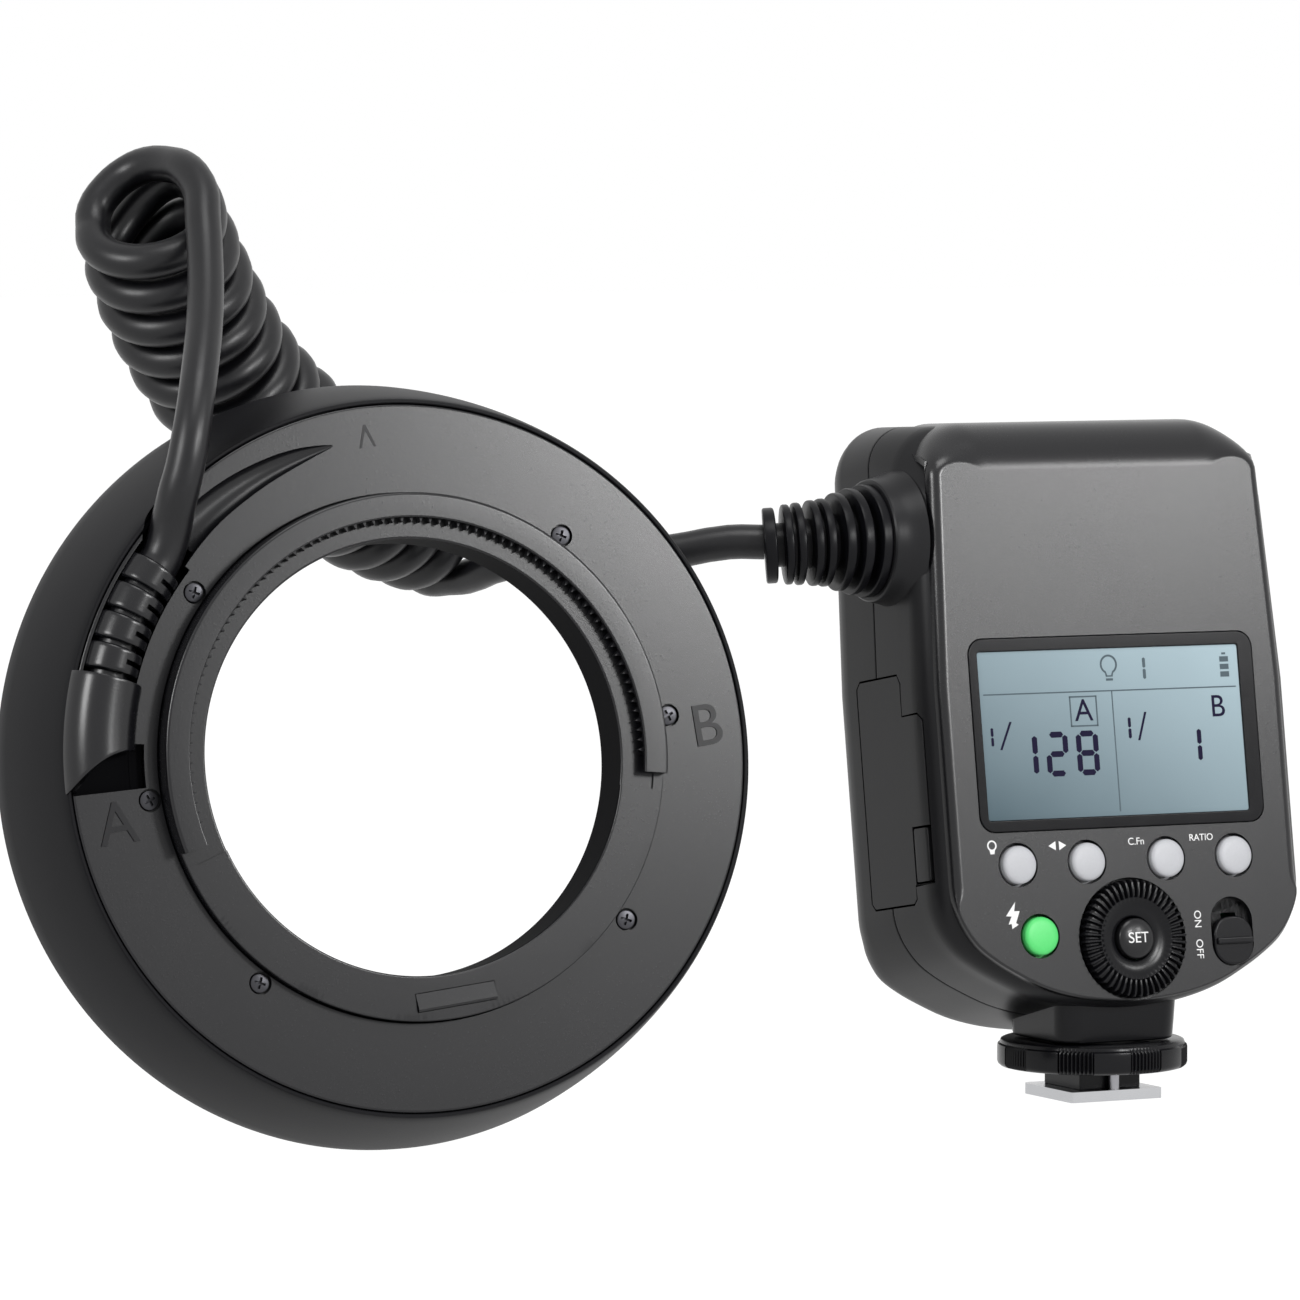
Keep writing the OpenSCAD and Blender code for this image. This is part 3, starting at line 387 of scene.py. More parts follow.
    @staticmethod
    def soften(piece: Piece, width: float, segments: int = 2, angle: float = 35.0) -> Piece:
        """Rounds every edge that is sharper than an angle."""
        return Bench.apply(piece, "BEVEL", width=width, segments=segments, limit_method="ANGLE",
                           angle_limit=math.radians(angle), use_clamp_overlap=True)

    @staticmethod
    def copy(piece: Piece, name: str) -> Piece:
        """A copy with a mesh of its own."""
        twin = piece.copy()
        twin.data = piece.data.copy()
        twin.name = twin.data.name = name
        bpy.context.collection.objects.link(twin)
        return twin

    @staticmethod
    def join(piece: Piece, *others: Piece, name: str = "") -> Piece:
        """Makes several pieces one object, under a new name where one is given."""
        Bench.pick(piece)
        for other in others:
            other.select_set(True)
        bpy.ops.object.join()
        if name:
            piece.name = piece.data.name = name
        return piece

    @staticmethod
    def lettering(name: str, words: str, size: float, at: Point, height: float,
                  relief: float = 0.03) -> Piece:
        """Flat raised letters, made a mesh before they are placed.

        Args:
            name: The piece's name.
            words: What is written.
            size: Height of the type.
            at: Middle of the words.
            height: Height of the letters' underside.
            relief: Half of the letters' own height.

        Returns:
            The new piece.
        """
        Bench.clear()
        bpy.ops.object.text_add()
        piece = bpy.context.active_object
        piece.name = name
        piece.data.body = words
        piece.data.size = size
        piece.data.align_x = "CENTER"
        piece.data.align_y = "CENTER"
        piece.data.extrude = relief
        bpy.ops.object.convert(target="MESH")
        return Bench.place(bpy.context.active_object, moved(*at, height + relief - LETTER_SINK))


class Value:
    """A shader value that does sums: every operator adds one Math node."""

    def __init__(self, tree: bpy.types.NodeTree, socket: bpy.types.NodeSocket) -> None:
        """Wraps an output socket of a node tree."""
        self.tree = tree
        self.socket = socket

    def _sum(self, operation: str, first: object, second: object) -> "Value":
        """One Math node.

        Args:
            operation: The Math node's operation.
            first: Its first term, a Value or a number.
            second: Its second term.

        Returns:
            The result.
        """
        node = self.tree.nodes.new("ShaderNodeMath")
        node.operation = operation
        for socket, term in zip(node.inputs, (first, second)):
            if isinstance(term, Value):
                self.tree.links.new(term.socket, socket)
            else:
                socket.default_value = float(term)
        return Value(self.tree, node.outputs[0])

    def __add__(self, other: object) -> "Value":
        """Sum."""
        return self._sum("ADD", self, other)

    __radd__ = __add__

    def __sub__(self, other: object) -> "Value":
        """Difference."""
        return self._sum("SUBTRACT", self, other)

    def __mul__(self, other: object) -> "Value":
        """Product."""
        return self._sum("MULTIPLY", self, other)

    def __truediv__(self, other: object) -> "Value":
        """Quotient."""
        return self._sum("DIVIDE", self, other)

    def above(self, other: object) -> "Value":
        """The larger of two values."""
        return self._sum("MAXIMUM", self, other)

    def below(self, other: object) -> "Value":
        """The smaller of two values."""
        return self._sum("MINIMUM", self, other)


class Graph:
    """The node tree of one material or of the world."""

    def __init__(self, tree: bpy.types.NodeTree) -> None:
        """Empties a node tree and takes it over."""
        self.tree = tree
        tree.nodes.clear()

    @classmethod
    def material(cls, name: str) -> tuple[bpy.types.Material, "Graph"]:
        """A new material and its graph."""
        made = bpy.data.materials.new(name)
        made.use_nodes = True
        return made, cls(made.node_tree)

    def add(self, kind: str, settings: dict[str, object] | None = None,
            sockets: dict[object, object] | None = None) -> bpy.types.Node:
        """Adds a node.

        Args:
            kind: The node's type, without its prefix.
            settings: What is set on the node first.
            sockets: Values or links of its inputs, by name or number.

        Returns:
            The node.
        """
        node = self.tree.nodes.new("ShaderNode" + kind)
        for key, value in (settings or {}).items():
            setattr(node, key, value)
        for key, value in (sockets or {}).items():
            source = value.socket if isinstance(value, Value) else value
            if isinstance(source, bpy.types.NodeSocket):
                self.tree.links.new(source, node.inputs[key])
            else:
                node.inputs[key].default_value = source
        return node

    def value(self, node: bpy.types.Node, output: object = 0) -> Value:
        """One output of a node as a Value."""
        return Value(self.tree, node.outputs[output])

    def place(self) -> bpy.types.NodeSocket:
        """Object coordinates, which here are the row frame in metres."""
        return self.add("TexCoord").outputs["Object"]

    def noise(self, scale: float, detail: float = 4.0, roughness: float = 0.55) -> Value:
        """Noise of a fineness given per metre, from 0 to 1."""
        return self.value(self.add("TexNoise", {}, {
            "Vector": self.place(), "Scale": scale, "Detail": detail,
            "Roughness": roughness}), "Fac")

    def blend(self, factor: Value, first: Colour, second: Colour) -> bpy.types.NodeSocket:
        """A mix of two colours."""
        node = self.add("Mix", {"data_type": "RGBA"}, {
            "Factor": factor, 6: (*first, 1), 7: (*second, 1)})
        return node.outputs[2]

    def bump(self, height: Value, strength: float, distance: float) -> bpy.types.NodeSocket:
        """A bumped normal from a height."""
        return self.add("Bump", {}, {
            "Height": height, "Strength": strength, "Distance": distance}).outputs["Normal"]

    def shader(self, sockets: dict[str, object]) -> None:
        """A principled shader wired to the output."""
        node = self.add("BsdfPrincipled", {}, sockets)
        self.add("OutputMaterial", {}, {"Surface": node.outputs[0]})


def shaded(colour: Colour, factor: float) -> Colour:
    """A colour made lighter or darker."""
    return tuple(min(1.0, part * factor) for part in colour)


@dataclass(frozen=True)
class Finish:
    """Name and colour of a finish, and the way to its material."""

    name: str
    colour: Colour

    def sockets(self, graph: Graph) -> dict[str, object]:
        """Inputs of the principled shader, which each kind of finish gives."""
        raise NotImplementedError

    def material(self) -> bpy.types.Material:
        """Builds the material."""
        made, graph = Graph.material(self.name)
        graph.shader(self.sockets(graph))
        return made


@dataclass(frozen=True)
class Moulding(Finish):
    """Moulded plastic with a fine eroded grain and faint flow clouds."""

    roughness: float = 0.45
    grain: float = 2600.0
    depth: float = 0.35
    gloss: float = 0.35

    def sockets(self, graph: Graph) -> dict[str, object]:
        """Inputs of the principled shader.

        Args:
            graph: The material's graph.

        Returns:
            What each input gets, by its name.
        """
        fine = graph.noise(self.grain, 3.0, 0.6)
        cloud = graph.noise(38.0, 3.0)
        return {
            "Base Color": graph.blend(cloud * 0.7 + fine * 0.3, shaded(self.colour, 0.82),
                                      shaded(self.colour, 1.2)),
            "Roughness": self.roughness - 0.03 + cloud * 0.02 + fine * 0.05,
            "Specular IOR Level": self.gloss,
            "Normal": graph.bump(fine, self.depth, 0.00003)}


@dataclass(frozen=True)
class Rubber(Finish):
    """Extruded soft rubber with a satin skin and fine dust."""

    roughness: float = 0.4
    gloss: float = 0.4

    def sockets(self, graph: Graph) -> dict[str, object]:
        """Inputs of the principled shader.

        Args:
            graph: The material's graph.

        Returns:
            What each input gets, by its name.
        """
        skin = graph.noise(900.0, 4.0)
        fine = graph.noise(5200.0, 2.0)
        dust = (skin - 0.55).above(0.0) * 1.4
        return {
            "Base Color": graph.blend(dust + fine * 0.12, self.colour, shaded(self.colour, 1.9)),
            "Roughness": self.roughness + skin * 0.12,
            "Specular IOR Level": self.gloss,
            "Normal": graph.bump(fine * 0.6 + skin * 0.4, 0.25, 0.00004)}


@dataclass(frozen=True)
class Gloss(Finish):
    """Polished moulding under a clear skin with faint wipe marks."""

    roughness: float = 0.12
    coat: float = 0.5
    gloss: float = 0.45

    def sockets(self, graph: Graph) -> dict[str, object]:
        """Inputs of the principled shader.

        Args:
            graph: The material's graph.

        Returns:
            What each input gets, by its name.
        """
        wipe = graph.noise(160.0, 5.0)
        fine = graph.noise(2400.0, 2.0)
        return {
            "Base Color": graph.blend(wipe, shaded(self.colour, 0.8), shaded(self.colour, 1.25)),
            "Roughness": self.roughness + wipe * 0.06 + fine * 0.03,
            "Specular IOR Level": self.gloss,
            "Coat Weight": self.coat,
            "Coat Roughness": 0.06,
            "Normal": graph.bump(fine, 0.05, 0.00002)}


@dataclass(frozen=True)
class Metal(Finish):
    """Plated or turned metal with a drawn grain."""

    roughness: float = 0.16
    grain: Place = (60.0, 2600.0, 2600.0)

    def sockets(self, graph: Graph) -> dict[str, object]:
        """Inputs of the principled shader.

        Args:
            graph: The material's graph.

        Returns:
            What each input gets, by its name.
        """
        along = graph.add("Mapping", {}, {"Vector": graph.place(), "Scale": self.grain})
        drawn = graph.value(graph.add("TexNoise", {}, {
            "Vector": along.outputs[0], "Scale": 1.0, "Detail": 4.0}), "Fac")
        cloud = graph.noise(120.0)
        return {
            "Base Color": graph.blend(cloud, shaded(self.colour, 0.9), self.colour),
            "Metallic": 1.0,
            "Roughness": self.roughness + drawn * 0.1 + cloud * 0.04,
            "Normal": graph.bump(drawn, 0.06, 0.00002)}


@dataclass(frozen=True)
class LiquidCrystal(Finish):
    """Display glass with a pixel grid, its colour lighter to the upper right: a painted highlight.
    """

    # Colour at the upper right, where the painted highlight is lightest
    high: Colour
    # Start and size of the glass in X and Z
    across: Point = (-0.028, 0.056)
    upright: Point = (0.048, 0.03)

    def sockets(self, graph: Graph) -> dict[str, object]:
        """Inputs of the principled shader.

        Args:
            graph: The material's graph.

        Returns:
            What each input gets, by its name.
        """
        split = graph.add("SeparateXYZ", {}, {0: graph.place()})
        right = (graph.value(split, 0) - self.across[0]) / self.across[1]
        up = (graph.value(split, 2) - self.upright[0]) / self.upright[1]
        cloud = graph.noise(45.0, 2.0)
        # Painted highlight: the display's own tone runs lighter towards the upper right, where the
        # key light falls
        painted_highlight = (right * 0.5 + up * 0.5 + (cloud - 0.5) * 0.12).above(0.0).below(1.0)
        grid = graph.value(graph.add("TexChecker", {}, {
            "Vector": graph.place(), "Scale": 2400.0, "Color1": (0.97, 0.97, 0.97, 1),
            "Color2": (1, 1, 1, 1)}), "Fac")
        return {
            "Base Color": graph.blend(painted_highlight, self.colour, self.high),
            "Roughness": 0.4 + grid * 0.04,
            "Specular IOR Level": 0.12}


@dataclass(frozen=True)
class Prismatic(Finish):
    """Clear moulded diffuser with fine prisms."""

    def sockets(self, graph: Graph) -> dict[str, object]:
        """Inputs of the principled shader.

        Args:
            graph: The material's graph.

        Returns:
            What each input gets, by its name.
        """
        ribs, rows = (graph.value(graph.add("TexWave", {"bands_direction": way}, {
            "Vector": graph.place(), "Scale": 320.0, "Distortion": 0.0}), "Fac") for way in "XZ")
        cells = ribs * 0.5 + rows * 0.5
        return {
            "Base Color": graph.blend(cells, shaded(self.colour, 0.86), self.colour),
            "Roughness": 0.16 + cells * 0.1,
            "Coat Weight": 0.6,
            "Normal": graph.bump(cells, 0.5, 0.0002)}


@dataclass(frozen=True)
class CircuitBoard(Finish):
    """Solder mask with copper tracks that show through it."""

    def sockets(self, graph: Graph) -> dict[str, object]:
        """Inputs of the principled shader.

        Args:
            graph: The material's graph.

        Returns:
            What each input gets, by its name.
        """
        tracks = graph.value(graph.add("TexBrick", {"offset": 0.5}, {
            "Vector": graph.place(), "Scale": 260.0, "Mortar Size": 0.03}), "Fac")
        cloud = graph.noise(80.0)
        return {
            "Base Color": graph.blend(tracks, shaded(self.colour, 1.5), self.colour),
            "Roughness": 0.34 + cloud * 0.12,
            "Coat Weight": 0.3,
            "Normal": graph.bump(tracks, 0.2, 0.00003)}


class Paints:
    """All finishes of the flash, each built when it is first asked for."""

    charcoal = Moulding("charcoal_moulding", (0.004, 0.004, 0.005), 0.26, 2600.0, 0.25, 0.38)
    wall = Moulding("wall_moulding", (0.007, 0.007, 0.008), 0.42, 2600.0, 0.3, 0.06)
    cheek = Moulding("cheek_moulding", (0.010, 0.010, 0.011), 0.36, 2600.0, 0.3, 0.16)
    panel = Moulding("panel_moulding", (0.004, 0.004, 0.005), 0.26, 3000.0, 0.25, 0.42)
    soft_black = Moulding("soft_black_moulding", (0.004, 0.004, 0.005), 0.24, 2600.0, 0.2, 0.18)
    # Near-black dull moulding: the own colour of the front bezel and the dial's encoder, and
    # painted shade on the channel's lining, the pocket's floor, the bore wall and the cord bed,
    # where there is only shade
    black_and_painted_shade = Moulding("black_and_painted_shade_moulding", (0.002, 0.002, 0.0025), 0.7, 2600.0, 0.3, 0.03)
    teeth = Moulding("click_ring_moulding", (0.010, 0.010, 0.0115), 0.35, 2600.0, 0.3, 0.2)
    cord = Rubber("cord_rubber", (0.004, 0.004, 0.005), 0.3, 0.34)
    relief = Rubber("relief_rubber", (0.003, 0.003, 0.004), 0.28, 0.13)
    window = Gloss("window_gloss", (0.003, 0.003, 0.004), 0.14, 0.05, 0.15)
    cap = Gloss("set_button_gloss", (0.007, 0.007, 0.008), 0.28, 0.1, 0.25)
    light_grey = Moulding("button_grey", (0.40, 0.405, 0.425), 0.42, 2200.0, 0.25, 0.4)
    green = Moulding("button_green", (0.075, 0.58, 0.14), 0.4, 2200.0, 0.25, 0.4)
    chrome = Metal("shoe_chrome", (0.52, 0.525, 0.54), 0.16)
    steel = Metal("screw_steel", (0.35, 0.35, 0.37), 0.25)
    black_screw = Metal("blackened_screw", (0.05, 0.05, 0.055), 0.3)
    brass = Metal("contact_brass", (0.75, 0.58, 0.26), 0.2)
    mirror = Metal("reflector_skin", (0.85, 0.87, 0.9), 0.12)
    # Display glass: its own tone with a painted highlight, lighter towards the upper right
    display = LiquidCrystal("display_glass_painted_highlight", (0.045, 0.076, 0.094), (0.31, 0.40, 0.44))
    ink = Moulding("display_ink", (0.010, 0.008, 0.026), 0.6, 2200.0, 0.05, 0.05)
    faint_ink = Moulding("display_faint_ink", (0.075, 0.10, 0.115), 0.6, 2200.0, 0.05, 0.05)
    print_white = Moulding("panel_print", (0.72, 0.72, 0.72), 0.5, 2200.0, 0.1)
    engraved = Moulding("engraved_moulding", (0.004, 0.004, 0.005), 0.34, 2600.0, 0.25, 0.22)
    diffuser = Prismatic("diffuser_prisms", (0.8, 0.82, 0.84))
    tube = Gloss("flash_tube_glass", (0.55, 0.66, 0.7), 0.08, 1.0)
    ceramic = Moulding("grommet_ceramic", (0.7, 0.67, 0.6), 0.5)
    lamp = Gloss("lamp_resin", (0.85, 0.8, 0.55), 0.15, 0.8)
    board = CircuitBoard("board_mask", (0.02, 0.12, 0.05))
    capacitor = Gloss("capacitor_sleeve", (0.02, 0.022, 0.03), 0.3, 0.3)
    pad = Rubber("key_pad_silicone", (0.24, 0.25, 0.27), 0.5)
    _made: dict[str, bpy.types.Material] = {}

    @classmethod
    def of(cls, finish: Finish) -> bpy.types.Material:
        """The material of a finish, built once."""
        if finish.name not in cls._made:
            cls._made[finish.name] = finish.material()
        return cls._made[finish.name]


def hand_over(piece: Piece, at: Matrix, finish: Finish, body: Body, nodes: Sequence[str] = (),
              angle: float = 32.0) -> None:
    """Gives a piece its place, shading, finish, body and the nodes it stands for.

    Args:
        piece: The piece, in millimetres of its own frame.
        at: That frame's place.
        finish: Its finish.
        body: The CAD body it rides on.
        nodes: CAD nodes that it stands for.
        angle: Edges sharper than this stay sharp.
    """
    Bench.place(piece, at)
    bpy.ops.object.shade_smooth_by_angle(angle=math.radians(angle))
    Bench.apply(piece, "WEIGHTED_NORMAL", keep_sharp=True)
    piece.data.materials.clear()
    piece.data.materials.append(Paints.of(finish))
    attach(piece, body.value)
    if nodes:
        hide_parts(*nodes)
    log.info("%s rides on %s, %d faces", piece.name, body.value, len(piece.data.polygons))


@dataclass
class Studio:
    """Camera, floor, lamps and the white surroundings."""

    camera_at: Place = (-0.7156, -1.2334, 0.1699)
    right: Place = (0.8915, -0.4531, 0.0)
    up: Place = (0.0286, 0.0563, 0.998)
    forward: Place = (0.4522, 0.8897, -0.0631)
    lens: float = 221.54
    sensor: float = 36.0
    sight: float = 60.0
    floor_z: float = -0.0007
    floor_size: float = 14.0
    # White of the surroundings on seen rays and on all rays, of the floor's cloth and of its glow,
    # and the glow's share on seen rays
    seen_white: float = 0.82
    fill_white: float = 0.18
    cloth_white: float = 0.86
    glow_white: float = 1.15
    glow_share: float = 0.88
    # Name, place, target, size and power of each lamp
    lamps: list[tuple[str, Place, Place, float, float]] = field(default_factory=lambda: [
        ("overhead", (-0.15, -0.5, 1.25), (-0.07, 0.0, 0.08), 0.6, 6.5),
        ("left_bank", (-1.25, -0.35, 0.55), (-0.15, 0.0, 0.06), 0.4, 8.5),
        ("ring_key", (0.144, -0.723, 0.335), (-0.147, -0.027, 0.068), 0.14, 2.9),
        ("panel_key", (0.479, -0.718, 0.378), (0.0, 0.0, 0.07), 0.16, 2.0)])

    def aim(self) -> None:
        """Sets the camera where the photograph was taken from."""
        data = bpy.data.cameras.new("camera")
        data.lens = self.lens
        data.sensor_width = self.sensor
        data.clip_end = self.sight
        eye = bpy.data.objects.new("camera", data)
        columns = (self.right, self.up, Vector(self.forward) * -1, self.camera_at)
        eye.matrix_world = Matrix(
            [[column[row] for column in columns] for row in range(3)] + [[0, 0, 0, 1]])
        bpy.context.collection.objects.link(eye)
        bpy.context.scene.camera = eye
        bpy.context.scene.view_settings.view_transform = "Standard"

    def light(self) -> None:
        """Hangs the soft lamps round the object."""
        for name, at, target, size, power in self.lamps:
            data = bpy.data.lights.new(name, "AREA")
            data.energy = power
            data.size = size
            lamp = bpy.data.objects.new(name, data)
            lamp.matrix_world = aimed(at, Vector(target) - Vector(at), "-Z")
            bpy.context.collection.objects.link(lamp)

    def seen(self, graph: Graph) -> Value:
        """1 on rays that should meet the white surroundings."""
        path = graph.add("LightPath")
        rays = [graph.value(path, f"Is {kind} Ray")
                for kind in ("Camera", "Glossy", "Transmission")]
        return rays[0].above(rays[1]).above(rays[2])

    def surround(self) -> None:
        """White world and a pale floor that keeps the shadow."""
        world = bpy.data.worlds.new("surroundings")
        bpy.context.scene.world = world
        world.use_nodes = True
        graph = Graph(world.node_tree)
        strength = self.seen(graph) * self.seen_white + self.fill_white
        back = graph.add("Background", {}, {"Color": (1, 1, 1, 1), "Strength": strength})
        graph.add("OutputWorld", {}, {"Surface": back.outputs[0]})
        Bench.clear()
        bpy.ops.mesh.primitive_plane_add(size=self.floor_size, location=(0, 0, self.floor_z))
        floor = bpy.context.active_object
        floor.name = "floor"
        made, graph = Graph.material("pale_floor")
        white = self.cloth_white
        cloth = graph.add("BsdfDiffuse", {}, {"Color": (white, white, white, 1)})
        glow = graph.add("Emission", {}, {"Color": (1, 1, 1, 1), "Strength": self.glow_white})
        mixed = graph.add("MixShader", {}, {
            0: self.seen(graph) * self.glow_share, 1: cloth.outputs[0], 2: glow.outputs[0]})
        graph.add("OutputMaterial", {}, {"Surface": mixed.outputs[0]})
        floor.data.materials.append(made)

    def build(self) -> None:
        """Sets up the whole studio."""
        self.aim()
        self.light()
        self.surround()


@dataclass
class CurlyCord:
    """The cord from the ring head over its loop and curls to the controller."""

    diameter: float = 6.2
    curl_radius: float = 10.4
    curls: float = 14.25
    first_angle: float = 195.0
    points_per_curl: int = 24
    axis: tuple[Place, Place, Place] = (
        (-173.0, 23.2, 156.8), (-149.0, 43, 112.0), (-102, 55, 102.5))
    # The curls lie closer at both ends of their length, and the first ones are narrower
    closing: float = 0.02
    narrowing: float = 0.7
    narrow_share: float = 0.2
    # Lift of the first curls' backs, which closes the loop's mouth: how far, where round a curl,
    # over which turns it sets in, from which turn it fades and over how many
    mouth_lift: float = 5.0
    mouth_angle: float = 92.0
    mouth_from: Point = (0.2, 0.6)
    mouth_to: float = 0.71
    mouth_fade: float = 5.0
    start: Place = (-189.92, -16.28, 98.60)
    start_way: Place = (0.5925, 0.0472, 0.8042)
    start_reach: float = 3.8
    lead: tuple[Place, ...] = (
        (-186.2, -17.3, 108), (-186, -19, 112), (-185, -19.7, 116.5), (-184, -19.5, 121),
        (-182.5, -18, 126), (-180.5, -15.2, 131))
    loop: tuple[Place, ...] = (
        (-175, -5.5, 142), (-171.2, 3.2, 152.2), (-169.8, 7.2, 157.4), (-168.5, 11, 161.8),
        (-168.7, 16, 165.3), (-169.5, 21.8, 166.4), (-171.4, 26.8, 166.4), (-173.9, 29.8, 164.9),
        (-176.9, 31.0, 162.2), (-179.5, 31.0, 158.6))
    leave_reach: float = 5.0
    run: tuple[Place, ...] = (
        (-98, 37.5, 96.0), (-92, 32.3, 96.5), (-83, 26.8, 97.2), (-74, 22, 98.0))
    end: Place = (-58.9, 14.2, 99.8)
    end_way: Place = (-0.8915, 0.4531, 0.0)
    # The cord is thicker where it leaves the ring head's gland
    swells: tuple[float, ...] = (1.16, 1.15, 1.13, 1.1, 1.07, 1.04)

    def curl(self, share: float) -> Vector:
        """A point of the curls at a share of their length."""
        a, b, c = (Vector(p) for p in self.axis)
        middle = a * (1 - share) ** 2 + b * 2 * share * (1 - share) + c * share ** 2
        way = ((b - a) * (1 - share) + (c - b) * share).normalized()
        side = way.cross(Vector((0, 0, 1))).normalized()
        rise = side.cross(way)
        tight = share + self.closing * math.sin(2 * math.pi * share)
        turn = math.radians(self.first_angle + 360 * self.curls * tight)
        radius = self.curl_radius - self.narrowing * max(0.0, 1 - share / self.narrow_share) ** 2
        back = max(0.0, math.cos(turn - math.radians(self.mouth_angle))) ** 2
        count = self.curls * tight
        fade = math.exp(-max(0.0, count - self.mouth_to) / self.mouth_fade)
        lift = Vector((0, 0, self.mouth_lift * back * eased(count, *self.mouth_from) * fade))
        return middle + radius * (math.cos(turn) * side + math.sin(turn) * rise) + lift

    def route(self) -> list[Vector]:
        """All points of the cord's middle line, in millimetres."""
        count = int(self.points_per_curl * self.curls)
        curls = [self.curl(k / count) for k in range(count + 1)]
        start = Vector(self.start)
        end = Vector(self.end)
        leave = (curls[-1] - curls[-2]).normalized()
        return ([start, start + Vector(self.start_way) * self.start_reach]
                + [Vector(p) for p in self.lead + self.loop] + curls
                + [curls[-1] + leave * self.leave_reach] + [Vector(p) for p in self.run]
                + [end + Vector(self.end_way) * self.diameter, end])

    def build(self) -> None:
        route = self.route()
        curve = bpy.data.curves.new("curly_cord", "CURVE")
        curve.dimensions = "3D"
        curve.bevel_depth = self.diameter / 2 * MM
        curve.bevel_resolution = 6
        curve.resolution_u = 3
        curve.use_fill_caps = True
        spline = curve.splines.new("BEZIER")
        spline.bezier_points.add(len(route) - 1)
        for knot, at in zip(spline.bezier_points, route):
            knot.co = at * MM
            knot.handle_left_type = knot.handle_right_type = "AUTO"
        for knot, swell in zip(spline.bezier_points, self.swells):
            knot.radius = swell
        cord = bpy.data.objects.new("curly_cord", curve)
        bpy.context.collection.objects.link(cord)
        curve.materials.append(Paints.of(Paints.cord))
        length = sum((b - a).length for a, b in zip(route, route[1:])) * MM
        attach(cord, Body.FLASH.value)
        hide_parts("cord_ring_lead", "cord_curls", "cord_controller_lead")
        log.info("curly_cord rides on flash, %.3f m long", length)


